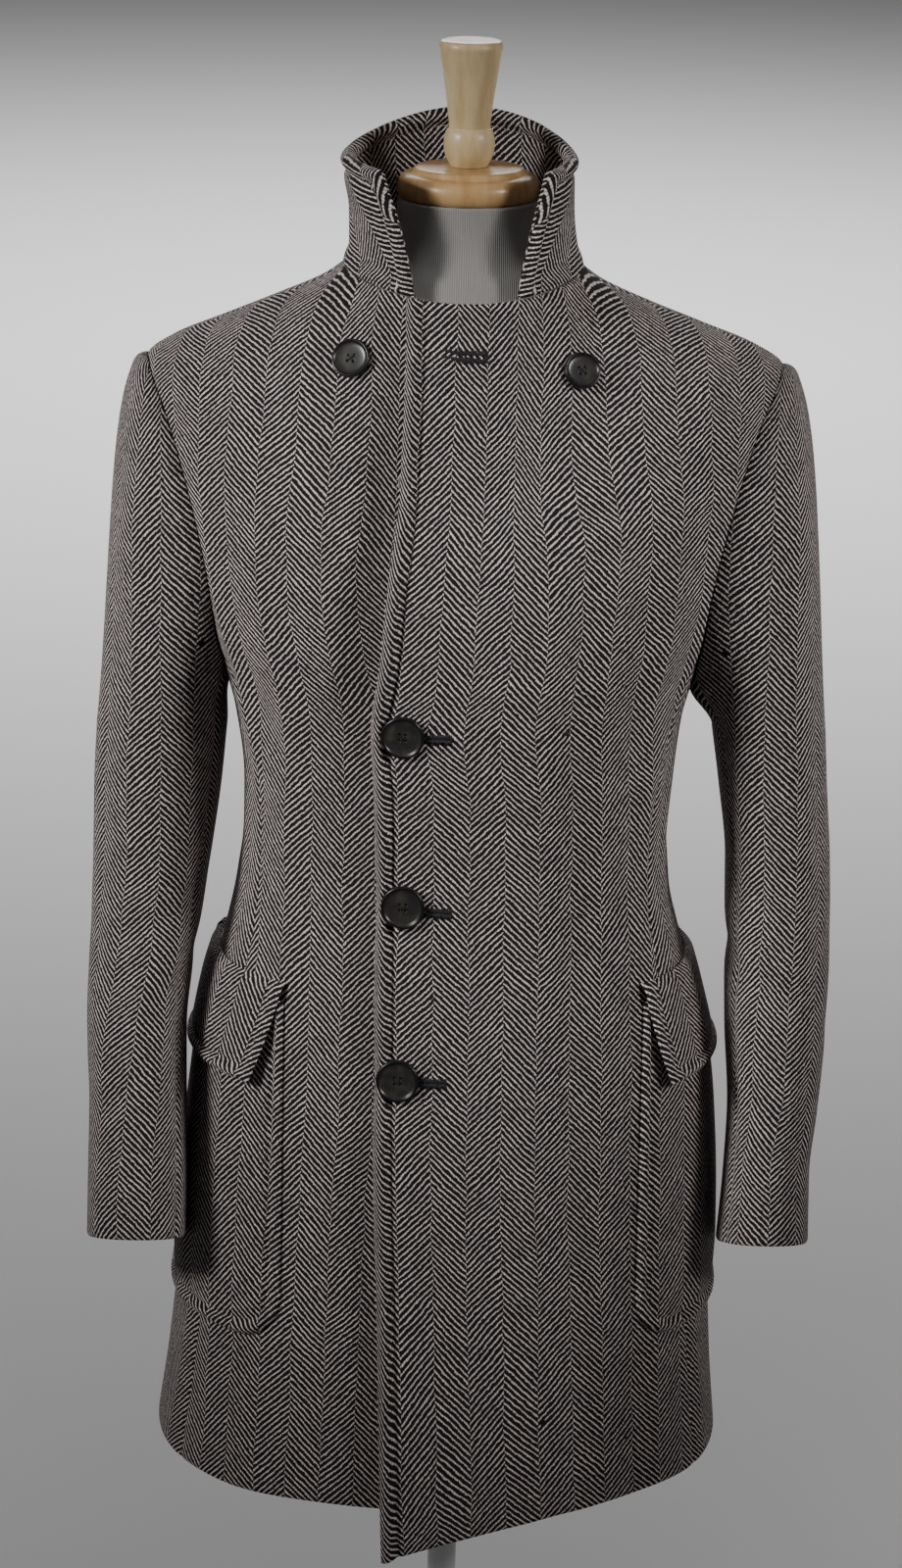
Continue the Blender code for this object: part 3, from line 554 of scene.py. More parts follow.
def tweed_material():
    """Herringbone tweed, drawn from the map of the grain."""
    material = plain_material("tweed", (0.15, 0.145, 0.14), 0.92)
    n = Nodes(material)
    grain = n.add("ShaderNodeUVMap", {"uv_map": "grain"}).outputs[0]
    place = n.add("ShaderNodeSeparateXYZ", Vector=grain)
    wander = n.add("ShaderNodeSeparateColor", Color=n.noise(grain, 20.0).outputs["Color"])
    ripple = n.noise(grain, 210.0, 2.0).outputs[0]
    tuft = n.noise(grain, 420.0, 1.0).outputs[0]
    fibre = n.noise(grain, 1400.0, 2.0, 0.7).outputs[0]
    across = n.jitter(place.outputs[0], wander.outputs[0], WANDER)
    across = n.jitter(across, fibre, FIBRE_SHIFT)
    upwards = n.jitter(place.outputs[1], wander.outputs[1], WANDER)
    upwards = n.jitter(upwards, ripple, RIPPLE)

    column = n.sum("DIVIDE", across, COLUMN_WIDTH)
    zigzag = n.sum("PINGPONG", column, 1.0)
    turned_over = n.sum("FLOORED_MODULO", n.sum("FLOOR", column), 2.0)
    phase = n.sum("MULTIPLY_ADD", zigzag, LINE_RISE, n.sum("DIVIDE", upwards, LINE_PITCH))
    phase = n.sum("MULTIPLY_ADD", turned_over, 0.5, phase)
    wave = n.sum("SINE", n.sum("MULTIPLY", phase, 2 * math.pi))
    wave = n.jitter(n.jitter(wave, fibre, FRAY), tuft, FRAY)

    bead_row = n.sum("MULTIPLY", n.sum("FLOOR", phase), 0.5)
    bead = n.sum("ADD", n.sum("DIVIDE", across, BEAD_LENGTH), bead_row)
    bead = n.sum("ABSOLUTE", n.sum("SINE", n.sum("MULTIPLY", bead, math.pi)))

    knots = n.add("ShaderNodeTexVoronoi", Scale=KNOT_SCALE, Vector=grain)
    chance = n.add("ShaderNodeSeparateColor", Color=knots.outputs["Color"]).outputs[0]
    knot = n.step(knots.outputs["Distance"], *KNOT_RIM, 1.0, 0.0)
    knot = n.sum("MULTIPLY", knot, n.sum("GREATER_THAN", chance, KNOT_FREE))

    pale = n.sum("MULTIPLY", n.step(wave, *PALE_STEP), n.step(bead, *BEAD_STEP))
    pale = n.sum("MULTIPLY", pale, n.sum("SUBTRACT", 1.0, knot))
    tone = n.step(n.noise(grain, 60.0, 2.0).outputs[0], 0.35, 0.65)
    yarn = n.mix(tone, PALE_YARN, PALE_YARN_COOL)
    n.feed(n.shader.inputs["Base Color"], n.mix(pale, DARK_YARN, yarn))
    n.bump(n.sum("MULTIPLY_ADD", fibre, 0.35, pale), 0.55, NAP_HEIGHT)
    n.set(Sheen_Weight=0.04, Sheen_Roughness=0.4, Specular_IOR_Level=0.08)
    return material


TWEED = tweed_material()
print("columns of", COLUMN_WIDTH, "m, lines every", LINE_PITCH, "m")

# %% [markdown]
# ## From a grid to a sheet of cloth
#
# Every cut piece starts as a flat grid, like cloth on the cutting table. Its points are then laid on the
# surface, and the map of the grain goes with them. A Solidify modifier gives the cloth its thickness
# inwards, and a small bevel turns the raw rim into a soft folded edge. Rows and columns crowd together
# near an edge, where a turned and stitched edge needs fine steps, and spread out in between.

# %% Sheets of cloth
LIP = 0.0006
FINE = 0.0012
COARSE = 0.0036
RIM_BEVEL = 0.0004
RIM_ANGLE = math.radians(60.0)
MOST_OF_RECTANGLE = 0.98


def spaced(width, near, far, fine=FINE, coarse=COARSE):
    """Shares from 0 to 1 over a width, crowded over its first and last stretch."""
    first = np.linspace(LIP, near, max(round(near / fine), 1), endpoint=False)
    middle = np.linspace(near, width - far, max(round((width - near - far) / coarse), 1), endpoint=False)
    last = np.linspace(width - far, width - LIP, max(round(far / fine), 2))
    return np.concatenate([[0.0], first, middle, last, [width]]) / width


def lengths(points, axis):
    """Distance along a grid's rows (1) or columns (0), from the first point."""
    steps = np.linalg.norm(np.diff(points, axis=axis), axis=-1)
    padding = ((1, 0), (0, 0)) if axis == 0 else ((0, 0), (1, 0))
    return np.pad(np.cumsum(steps, axis=axis), padding)


def laid(turn, level):
    """A grid on the body: its points, the way out of each, and how far each is along its row and column."""
    points = body_point(turn, level)
    return points, body_normal(turn, level), lengths(points, 1), lengths(points, 0)


def grid_area(points):
    """The area of a grid, cell by cell."""
    across = points[:-1, 1:] - points[:-1, :-1]
    upwards = points[1:, :-1] - points[:-1, :-1]
    return float(np.linalg.norm(np.cross(across, upwards), axis=-1).sum())


def grid_mesh(name, points, normals, grain):
    """A grid laid on the points, its faces turned the way of the normals."""
    rows, columns = points.shape[:2]
    facing = np.cross(points[1:-1, 2:] - points[1:-1, :-2], points[2:, 1:-1] - points[:-2, 1:-1])
    if (facing * normals[1:-1, 1:-1]).sum() < 0:
        points, grain = points[:, ::-1], grain[:, ::-1]
    bm = bmesh.new()
    bmesh.ops.create_grid(bm, x_segments=columns - 1, y_segments=rows - 1, size=0.5)
    mesh = bpy.data.meshes.new(name)
    bm.to_mesh(mesh)
    bm.free()
    flat = np.empty(len(mesh.vertices) * 3, np.float32)
    mesh.vertices.foreach_get("co", flat)
    column = np.rint((flat[0::3] + 0.5) * (columns - 1)).astype(int)
    row = np.rint((flat[1::3] + 0.5) * (rows - 1)).astype(int)
    mesh.vertices.foreach_set("co", points[row, column].astype(np.float32).ravel())
    corners = np.empty(len(mesh.loops), np.int32)
    mesh.loops.foreach_get("vertex_index", corners)
    uv = mesh.uv_layers.new(name="grain")
    uv.data.foreach_set("uv", grain[row, column][corners].astype(np.float32).ravel())
    mesh.shade_smooth()
    mesh.update()
    return mesh


def placed(name, mesh, material, node=None):
    """The mesh as a piece of the root body, in place of its CAD solid where it has one."""
    mesh.materials.append(material)
    piece = linked(name, mesh)
    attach(piece, "root")
    if node:
        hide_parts(node)
    print(f"{name}: {len(mesh.polygons)} faces")
    return piece


def cloth(node, plain, normals, lift, grain, thickness=CLOTH, hang=None):
    """One cut piece of the coat: a grid lifted off its plain surface, with a function for how it hangs."""
    points = plain + normals * lift[..., None]
    if hang:
        points = hang(points)
    name = node + "_cloth"
    piece = placed(name, grid_mesh(name, points, normals, grain), TWEED, node)
    wall = piece.modifiers.new("wall", "SOLIDIFY")
    wall.thickness = thickness
    wall.offset = -1.0
    wall.use_even_offset = False
    rim = piece.modifiers.new("turned rim", "BEVEL")
    rim.width = RIM_BEVEL
    rim.segments = 2
    rim.limit_method = "ANGLE"
    rim.angle_limit = RIM_ANGLE
    width, length = (float(np.ptp(grain[..., axis])) for axis in (0, 1))
    area = min(grid_area(points), MOST_OF_RECTANGLE * width * length)
    print(f"{node}: cut {width:.3f} by {length:.3f} m, {area:.4f} square metres")
    return piece


# %% [markdown]
# ## Seams, turned edges and creases
#
# Heavy cloth swells beside its stitching. An edge that was turned, pressed and stitched through shows a
# soft round band with a groove behind it, and a plain seam sinks between the two pieces it joins. The
# creases are given one row each: a trough where the body hollows beside the overlap, drag lines
# from the underarm and the waist, and like ones on the sides and the back that the picture hides.

# %% Seams and creases
EDGE_BAND = 0.0120
SEAM_TURN_IN = 0.0005
CREASE_RADIUS = 0.15

# Armhole and shoulder seams are pressed open: the share that takes off their dip, and where it comes in
PRESSED_OPEN = 0.7
PRESSED_FROM = (ARM_UNDER + 0.03, ARM_UNDER + 0.08)

# Turn and level of its middle, lean from upright in degrees, half-length, half-width, rise
CREASE_ROWS = [
    (-33.0, 0.930, -14.0, 0.090, 0.024, -0.0016),
    (-58.0, 1.010, -24.0, 0.055, 0.013, -0.0022),
    (-66.0, 0.985, -30.0, 0.045, 0.010, 0.0014),
    (57.0, 1.015, 24.0, 0.060, 0.014, -0.0022),
    (67.0, 0.985, 30.0, 0.045, 0.010, 0.0013),
    (40.0, 0.905, 8.0, 0.070, 0.022, -0.0014),
    (-55.0, 1.311, 30.0, 0.016, 0.012, -0.0022),
    (-38.0, 1.316, 10.0, 0.014, 0.008, 0.0010),
    (52.0, 1.311, -30.0, 0.016, 0.012, -0.0018),
    (12.0, 0.660, 3.0, 0.130, 0.030, -0.0014),
    (-20.0, 0.610, -4.0, 0.110, 0.024, -0.0016),
    (86.0, 0.900, 6.0, 0.040, 0.012, -0.0022),
    (-87.0, 0.905, -8.0, 0.045, 0.012, -0.0022),
    (118.0, 0.880, -70.0, 0.050, 0.010, -0.0024),
    (-122.0, 0.872, 74.0, 0.056, 0.010, -0.0026),
    (140.0, 0.905, -64.0, 0.060, 0.011, -0.0020),
    (-146.0, 0.915, 60.0, 0.052, 0.011, -0.0018),
    (128.0, 1.080, 22.0, 0.070, 0.016, -0.0026),
    (-130.0, 1.085, -20.0, 0.066, 0.016, -0.0024),
    (158.0, 1.130, 12.0, 0.085, 0.022, -0.0016),
    (-155.0, 1.120, -14.0, 0.080, 0.022, -0.0016),
]


def crease(apart, up, lean, length, width, rise):
    """The lift of one soft crease, this far round and up from its middle."""
    lean = math.radians(lean)
    along = up * math.cos(lean) + apart * math.sin(lean)
    across = apart * math.cos(lean) - up * math.sin(lean)
    return rise * bump_at(0.0, length, along) * bump_at(0.0, width, across)


def body_relief(turn, level):
    """How far the soft creases lift or sink the cloth."""
    lift = np.zeros(np.broadcast(turn, level).shape)
    for middle, height, *shape in CREASE_ROWS:
        apart = np.radians(half_turn(np.degrees(turn) - middle)) * CREASE_RADIUS
        lift = lift + crease(apart, level - height, *shape)
    return lift


def turned_edge(inside, drop=0.0012, width=0.0032):
    """The rounding of a plain turned edge, this far in from it."""
    return -drop * np.clip(1 - inside / width, 0, 1) ** 2


def swelled_edge(inside, band=EDGE_BAND, swell=0.0031, groove=0.0029):
    """A turned edge with a row of stitching behind it."""
    puff = swell * bump_at(0.45 * band, 0.42 * band, inside)
    return turned_edge(inside, 0.0019, 0.0040) + puff - groove * bump_at(band, 0.0024, inside)


def seam_dip(inside, depth=0.0008, width=0.0040):
    """How a piece sinks towards a plain seam, and turns in at the seam itself."""
    return -depth * bump_at(0.0, width, inside) - SEAM_TURN_IN * np.clip(1 - inside / LIP, 0, 1)


def seam_share(level):
    """Side seams sink in full, and the seams that are pressed open sink less."""
    return 1 - PRESSED_OPEN * ease_in(*PRESSED_FROM, level)


print(len(CREASE_ROWS), "creases on the body")

# %% [markdown]
# ## Fronts, side panels and backs
#
# Each half of the coat has a front, a side panel under the arm and a back. The wearer's left front laps
# over the right one and carries the swelled edge. Rows follow the hem, then the armhole angle by angle,
# then the shoulder, so the panel's rim is the true seam line. The left front's columns run beside its edge
# up to the waist and hang straighter above it. The right front swings in below the chest. Over the
# shoulders the columns of both lean in towards the neck, as the picture shows.

# %% Rows of a panel
LOWER_SHARES = spaced(0.60, 0.006, 0.005)
ARM_ROW_STEP = 1.5
SHOULDER_ROWS = 44

# Where the columns start, from the left front's edge and from the middle of the right front
LEFT_GRAIN_START = 0.0090
RIGHT_GRAIN_START = 0.075

# Above this level the left columns leave the line of the edge: by this share beside it, and further in
STRAIGHT_ABOVE = 1.000
STRAIGHT_AT_EDGE = 0.3
STRAIGHT_AWAY = 0.7
STRAIGHT_REACH = (0.015, 0.070)

# How far the columns lean in over each shoulder, between which levels, and how far from the middle
SHOULDER_LEAN = {1: 0.0140, -1: 0.0095}
LEAN_LEVELS = (1.17, 1.28)
LEAN_FROM_MIDDLE = (0.02, 0.07)

# The weave crowds together where the edge rolls under
ROLL_CROWDING = 2.0
ROLL_REACH = 0.0080

# How far the right front's columns swing in at each level
SWING = table(("level", "swing"), [
    (0.443, 0.008),
    (0.660, 0.014),
    (0.760, 0.019),
    (0.905, 0.018),
    (1.035, 0.015),
    (1.075, 0.007),
    (1.120, 0.002),
    (1.190, 0.000),
    (1.326, 0.000),
])

# The overlap's edge stands off the front beneath, but the buttons hold it, and the top one draws it aside
BUTTON_LEVELS = (1.019, 0.888, 0.760)
EDGE_STAND_OFF = 0.0056
EDGE_STAND_REACH = 0.016
EDGE_HELD_HALF = 0.026
EDGE_PULL = 0.0048
EDGE_PULL_LEVEL = 1.022
EDGE_PULL_HALF = 0.036

# The right front sinks towards the overlap: how deep, from x to x, and the levels where it comes and goes
HOLLOW_DEPTH = 0.0100
HOLLOW_SIDE = (-0.112, -0.050)
HOLLOW_END = (0.030, -0.020)
HOLLOW_FOOT = (0.92, 1.06)
HOLLOW_TOP = (1.305, 1.240)


def hollow(across, level):
    """How far the right front sinks beside the overlap."""
    come = ease_in(*HOLLOW_FOOT, level) * ease_in(*HOLLOW_TOP, level)
    return -HOLLOW_DEPTH * ease_in(*HOLLOW_SIDE, across) * ease_in(*HOLLOW_END, across) * come


def edge_stand(inside, level):
    """How far the free edge of the overlap stands off the front beneath."""
    free = np.ones(level.shape)
    for held in BUTTON_LEVELS:
        free = free * (1 - bump_at(held, EDGE_HELD_HALF, level))
    return EDGE_STAND_OFF * free * np.exp(-inside / EDGE_STAND_REACH)


def edge_swing(from_edge, level):
    """How far the left front's edge leaves the grain above the waist, where the columns hang straight."""
    share = STRAIGHT_AT_EDGE + (STRAIGHT_AWAY - STRAIGHT_AT_EDGE) * ease_in(*STRAIGHT_REACH, from_edge)
    above = overlap_edge(np.maximum(level, STRAIGHT_ABOVE))
    return share * (above - overlap_edge(np.array(STRAIGHT_ABOVE)))


def shoulder_lean(side, across, level):
    """How far the columns lean in towards the neck where the front is eased over the shoulder."""
    share = ease_in(*LEAN_LEVELS, level) * ease_in(*LEAN_FROM_MIDDLE, side * across)
    return side * SHOULDER_LEAN[side] * share


def front_grain(side, turn, level, edge):
    """The grain of a front, where edge is the angle of the overlapping edge in each row."""
    grain = body_grain(turn, level)
    if side > 0:
        grain[..., 0] += LEFT_GRAIN_START - body_grain(edge, level[:, :1])[..., 0]
    else:
        grain[..., 0] += RIGHT_GRAIN_START - read(SWING, level)["swing"]
    return grain


def panel_rows(arm_angle, name):
    """Levels of a front or back, with the angle of its outer edge: seam, armhole, shoulder seam."""
    top_of_seam = armhole(arm_angle)[0]
    lower = HEM + (top_of_seam - HEM) * LOWER_SHARES
    last = 0.0 if arm_angle < 180 else 360.0
    stations = np.linspace(arm_angle, last, round(abs(last - arm_angle) / ARM_ROW_STEP) + 1)[1:]
    arm_levels, arm_turns = armhole(stations)
    shoulder = np.linspace(ARM_TIP, NECK, SHOULDER_ROWS + 1)[1:]
    levels = np.concatenate([lower, arm_levels, shoulder])
    turns = np.concatenate([
        seam_turn(name, arm_angle, lower), arm_turns, np.full(SHOULDER_ROWS, math.pi / 2),
    ])
    return levels, turns


print(len(LOWER_SHARES), "rows below the armhole")

# %% Fronts
FRONT_WIDTH = 0.24


def front(side):
    """A front, from its free edge to its side seam, armhole and shoulder."""
    levels, outer = panel_rows(SIDE_SEAM_FRONT, "front_seam")
    outer = outer - half_seam(levels)
    if side > 0:
        pull = EDGE_PULL * bump_at(EDGE_PULL_LEVEL, EDGE_PULL_HALF, levels)
        edge = turn_at_x(levels, overlap_edge(levels) - pull)
        share = spaced(FRONT_WIDTH, 0.018, 0.008)
    else:
        edge = -turn_at_x(levels, np.full(levels.shape, UNDER_EDGE_X))
        share = spaced(FRONT_WIDTH, 0.004, 0.008)
    turn = side * (edge[:, None] + (outer - edge)[:, None] * share)
    level = np.repeat(levels[:, None], len(share), axis=1)
    plain, normals, from_edge, up = laid(turn, level)
    lift = body_relief(turn, level) + turned_edge(up)
    lift = lift + seam_dip(from_edge[:, -1:] - from_edge) * seam_share(level)
    grain = front_grain(side, turn, level, turn[:, :1])
    grain[..., 0] += shoulder_lean(side, plain[..., 0], level)
    rests_on, hang = ["form_torso_jersey"], None
    if side > 0:
        lift = lift + overlap_lift(plain[..., 0]) + swelled_edge(from_edge) + edge_stand(from_edge, level)
        lift = lift + turned_edge(up[-1] - up)
        crowding = ROLL_CROWDING * np.clip(ROLL_REACH - from_edge, 0, None) ** 2 / (2 * ROLL_REACH)
        grain[..., 0] += edge_swing(from_edge, level) - crowding
        rests_on, hang = rests_on + ["front_right_cloth"], drape_hem
    else:
        lift = lift + hollow(plain[..., 0], level)
    return cloth("front_" + WORD[side], plain, normals, lift, grain, hang=hang)


for side in (-1, 1):
    front(side)

# %% Side panels and backs
SIDE_SHARES = spaced(0.16, 0.006, 0.006, coarse=0.0045)
BACK_SHARES = spaced(0.19, 0.008, 0.008, coarse=0.0042)


def side_panel(side):
    """The panel under the arm, whose top edge is the lower part of the armhole."""
    stations = SIDE_SEAM_FRONT + (SIDE_SEAM_BACK - SIDE_SEAM_FRONT) * SIDE_SHARES
    top_level, top_turn = armhole(stations)
    front_top = seam_turn("front_seam", SIDE_SEAM_FRONT, top_level)
    back_top = seam_turn("back_seam", SIDE_SEAM_BACK, top_level)
    share = (top_turn - front_top) / (back_top - front_top)
    level = HEM + (top_level - HEM) * LOWER_SHARES[:, None]
    first = seam_turn("front_seam", SIDE_SEAM_FRONT, level) + half_seam(level)
    last = seam_turn("back_seam", SIDE_SEAM_BACK, level) - half_seam(level)
    turn = side * (first + (last - first) * share)
    plain, normals, across, up = laid(turn, level)
    lift = body_relief(turn, level) + turned_edge(up)
    lift = lift + seam_dip(across) + seam_dip(across[:, -1:] - across) + seam_dip(up[-1] - up)
    grain = body_grain(turn, level)
    grain[..., 0] -= body_grain(np.full(level.shape, side * math.pi / 2), level)[..., 0]
    return cloth("side_" + WORD[side], plain, normals, lift, grain)


def back(side):
    """A back, from its side seam, armhole and shoulder to the centre seam."""
    levels, outer = panel_rows(SIDE_SEAM_BACK, "back_seam")
    outer = outer + half_seam(levels)
    middle = math.pi - SEAM_GAP / 2 / read(BODY, levels)["back"]
    turn = side * (outer[:, None] + (middle - outer)[:, None] * BACK_SHARES)
    level = np.repeat(levels[:, None], len(BACK_SHARES), axis=1)
    plain, normals, across, up = laid(turn, level)
    lift = body_relief(turn, level) + turned_edge(up)
    lift = lift + seam_dip(across) * seam_share(level) + seam_dip(across[:, -1:] - across)
    grain = body_grain(turn, level, BACK_GRAIN[side])
    return cloth("back_" + WORD[side], plain, normals, lift, grain)


for side in (1, -1):
    side_panel(side)
    back(side)

# %% [markdown]
# ## Sleeves
#
# A two-piece sleeve has a wide top part and a narrow under part, and it bends forward at the elbow. Its
# head is eased into the armhole and stands up a little over the seam, which tailors call roping. The
# grain of the head runs straight up and is cut off by the armhole, so its map is worked out as if the
# upper arm's tube went on upwards. On the wearer's right the grain drifts outwards below the elbow.

# %% Sizes of the sleeves
SLEEVE_COLUMNS = ("height", "outer", "inner", "front", "back", "lift")
SLEEVE_RIGHT_ROWS = [
    (0.985, 0.2640, 0.1685, -0.066, 0.078, 0.000),
    (0.940, 0.2660, 0.1725, -0.067, 0.074, 0.000),
    (0.880, 0.2665, 0.1805, -0.071, 0.062, 0.002),
    (0.820, 0.2680, 0.1890, -0.083, 0.041, 0.005),
    (0.765, 0.2690, 0.1955, -0.099, 0.022, 0.009),
    (0.710, 0.2660, 0.1945, -0.113, 0.003, 0.013),
    (0.655, 0.2660, 0.1930, -0.127, -0.015, 0.016),
    (0.613, 0.2660, 0.1935, -0.137, -0.029, 0.018),
]
SLEEVE_LEFT_ROWS = [
    (0.985, 0.2690, 0.1860, -0.066, 0.078, 0.000),
    (0.945, 0.2715, 0.1920, -0.067, 0.074, 0.000),
    (0.890, 0.2755, 0.1985, -0.070, 0.064, 0.002),
    (0.830, 0.2770, 0.1995, -0.079, 0.048, 0.005),
    (0.770, 0.2755, 0.2010, -0.091, 0.032, 0.009),
    (0.710, 0.2710, 0.2045, -0.103, 0.016, 0.013),
    (0.662, 0.2660, 0.2025, -0.112, 0.003, 0.016),
    (0.610, 0.2665, 0.1985, -0.119, -0.007, 0.018),
]
SLEEVES = {
    1: table(SLEEVE_COLUMNS, SLEEVE_LEFT_ROWS[::-1]),
    -1: table(SLEEVE_COLUMNS, SLEEVE_RIGHT_ROWS[::-1]),
}
SLEEVE_SQUARE = 2.1
SLEEVE_RADIUS = 0.05
SLEEVE_SPAN_RADIUS = 0.06
SLEEVE_ROW_LENGTH = 0.37
SLEEVE_SEAM_FRONT = 150.0
SLEEVE_SEAM_BACK = 255.0
CAP_FALL = 1.3
CAP_FLARE = 0.13
SEAT = table(("angle", "outward", "forward", "downward"), [
    (0.0, 0.088, 0.000, -0.006),
    (45.0, 0.080, 0.010, 0.006),
    (90.0, 0.045, 0.014, 0.040),
    (135.0, 0.020, 0.006, 0.050),
    (180.0, 0.010, 0.000, 0.030),
])
ROPE_RISE = 0.0010
ROPE_MIDDLE = 0.009
ROPE_HALF = 0.007
ROPE_SIDES = (-0.35, 0.5)
GRAIN_DRIFT = {1: 0.0, -1: 0.036}
DRIFT_ROWS = (1.15, 2.0)

# Creases of the sleeves: angle and row of the middle, lean, half-length, half-width, rise
SLEEVE_CREASES = {
    1: [
        (95.0, 1.32, 68.0, 0.045, 0.010, -0.0022),
        (120.0, 1.47, 74.0, 0.050, 0.011, -0.0026),
        (70.0, 1.66, 60.0, 0.036, 0.010, -0.0016),
        (40.0, 0.52, 12.0, 0.070, 0.014, 0.0014),
        (300.0, 1.30, -60.0, 0.050, 0.012, -0.0022),
        (320.0, 1.52, -66.0, 0.046, 0.012, -0.0018),
        (210.0, 1.40, 80.0, 0.060, 0.012, -0.0024),
    ],
    -1: [
        (110.0, 1.36, 70.0, 0.045, 0.010, -0.0022),
        (125.0, 1.52, 72.0, 0.046, 0.011, -0.0022),
        (60.0, 1.72, 52.0, 0.034, 0.010, -0.0015),
        (45.0, 0.50, 10.0, 0.070, 0.014, 0.0014),
        (305.0, 1.33, -62.0, 0.052, 0.012, -0.0022),
        (318.0, 1.56, -64.0, 0.044, 0.012, -0.0018),
        (215.0, 1.43, 80.0, 0.060, 0.012, -0.0024),
    ],
}
print(sum(len(rows) for rows in SLEEVE_CREASES.values()), "creases on the sleeves")

# %% Shape of a sleeve


def sleeve_ring(side, angle, height):
    """The sleeve below the underarm: angle 0 is its outer side, 90 its front."""
    column = read(SLEEVES[side], height)
    cosine, sine = np.cos(np.radians(angle)), np.sin(np.radians(angle))
    power = 2 / SLEEVE_SQUARE
    out = np.sign(cosine) * np.abs(cosine) ** power
    forward = np.sign(sine) * np.abs(sine) ** power
    across = (column["outer"] + column["inner"]) / 2 + (column["outer"] - column["inner"]) / 2 * out
    along = (column["front"] + column["back"]) / 2 + (column["front"] - column["back"]) / 2 * forward
    return np.stack([side * across, along, height + column["lift"] * forward], axis=-1)


def sleeve_point(side, angle, row):
    """The sleeve's outer surface: row 0 at the armhole, 1 at the underarm ring, 2 at the cuff."""
    angle, row = np.broadcast_arrays(np.asarray(angle, float), np.asarray(row, float))
    top, foot = SLEEVES[side]["height"][-1], SLEEVES[side]["height"][0]
    ring = sleeve_ring(side, angle, top - (top - foot) * np.clip(row - 1, 0, 1))
    level, turn = armhole(angle % 360)
    seam = body_point(side * turn, level)
    seam[..., 0] += side * SEAM_GAP * 2
    seat = read(SEAT, np.abs(half_turn(angle)))
    cosine, in_front = np.cos(np.radians(angle)), np.sign(np.sin(np.radians(angle)))
    leave = np.stack([side * seat["outward"], -seat["forward"] * in_front, -seat["downward"]], axis=-1)
    drop = seam[..., 2] - ring[..., 2]
    flare = side * CAP_FLARE * (1 + cosine) / 2 * drop
    fall = np.stack([flare, np.zeros(drop.shape), -CAP_FALL * drop], axis=-1)
    head = cubic(np.clip(row, 0, 1)[..., None], seam, leave, ring, fall)
    return np.where(row[..., None] < 1, head, ring)


def sleeve_normals(side, points):
    """The way out of a sleeve, from its neighbouring points."""
    around, down = np.gradient(points, axis=1), np.gradient(points, axis=0)
    return unit(np.cross(around, down)) * side


def sleeve_grain(side, angle, row, points):
    """Across from the outer line of the sleeve, and up from the underarm."""
    rows = SLEEVES[side]
    fine = np.arange(-180.0, 541.0, 3.0)
    lower_rows = row[row[:, 0] >= 1, 0]
    tables = []
    for lower_row in lower_rows:
        ring = sleeve_point(side, fine, np.full(fine.shape, lower_row))
        arc = np.concatenate([[0], np.cumsum(np.linalg.norm(np.diff(ring, axis=0), axis=-1))])
        tables.append(arc - np.interp(0.0, fine, arc))
    top = {name: rows[name][-1] for name in SLEEVE_COLUMNS}
    across_middle, along_middle = (top["outer"] + top["inner"]) / 2, (top["front"] + top["back"]) / 2
    out = (points[..., 0] * side - across_middle) / ((top["outer"] - top["inner"]) / 2)
    forward = (points[..., 1] - along_middle) / ((top["front"] - top["back"]) / 2)
    seen_from_above = np.degrees(np.arctan2(forward, out))
    seen_from_above = angle + half_turn(seen_from_above - angle)
    grain = np.empty((*points.shape[:2], 2))
    head = row[:, 0] < 1
    grain[head, :, 0] = np.interp(seen_from_above[head], fine, tables[0])
    for place, arc in zip(np.flatnonzero(~head), tables):
        grain[place, :, 0] = np.interp(angle[place], fine, arc)
    along = lengths(points, 0)
    first_ring = int(np.argmin(head))
    grain[..., 1] = np.where(head[:, None], points[..., 2] - top["height"], 0.0)
    grain[~head, :, 1] = -(along[~head].mean(axis=1) - along[first_ring].mean())[:, None]
    grain[..., 0] += GRAIN_DRIFT[side] * ease_in(*DRIFT_ROWS, row)
    return grain


def sleeve_relief(side, angle, row):
    """How far a sleeve's creases lift or sink the cloth."""
    lift = np.zeros(angle.shape)
    for middle, place, *shape in SLEEVE_CREASES[side]:
        apart = np.radians(half_turn(angle - middle)) * SLEEVE_RADIUS
        lift = lift + crease(apart, (place - row) * SLEEVE_ROW_LENGTH, *shape)
    return lift


# %% Cut the sleeves
CAP_SHARES = np.concatenate([[0.0, 0.010, 0.022], np.linspace(0.036, 0.25, 18), np.linspace(0.25, 1, 44)[1:]])
SLEEVE_LOWER = 1 + spaced(0.38, 0.004, 0.008, coarse=0.0034)[1:]
SLEEVE_SEAM_DIP = 0.0010


def sleeve(side, part, first, last):
    """The top or under part of a sleeve, between two angles round it."""
    gap = math.degrees(SEAM_GAP / 2 / SLEEVE_RADIUS)
    span = math.radians(last - first) * SLEEVE_SPAN_RADIUS
    stations = first + gap + (last - first - 2 * gap) * spaced(span, 0.008, 0.008)
    row, angle = np.meshgrid(np.concatenate([CAP_SHARES, SLEEVE_LOWER]), stations, indexing="ij")
    plain = sleeve_point(side, angle, row)
    normals = sleeve_normals(side, plain)
    across, down = lengths(plain, 1), lengths(plain, 0)
    upper_half = ease_in(*ROPE_SIDES, np.cos(np.radians(angle)))
    lift = ROPE_RISE * upper_half * bump_at(ROPE_MIDDLE, ROPE_HALF, down)
    lift = lift + seam_dip(down) * (1 - PRESSED_OPEN) + turned_edge(down[-1] - down)
    lift = lift + sleeve_relief(side, angle, row) * ease_in(0.0, 0.03, down)
    for inside in (across, across[:, -1:] - across):
        lift = lift + seam_dip(inside, SLEEVE_SEAM_DIP)
    grain = sleeve_grain(side, angle, row, plain)
    return cloth(f"sleeve_{WORD[side]}_{part}", plain, normals, lift, grain)


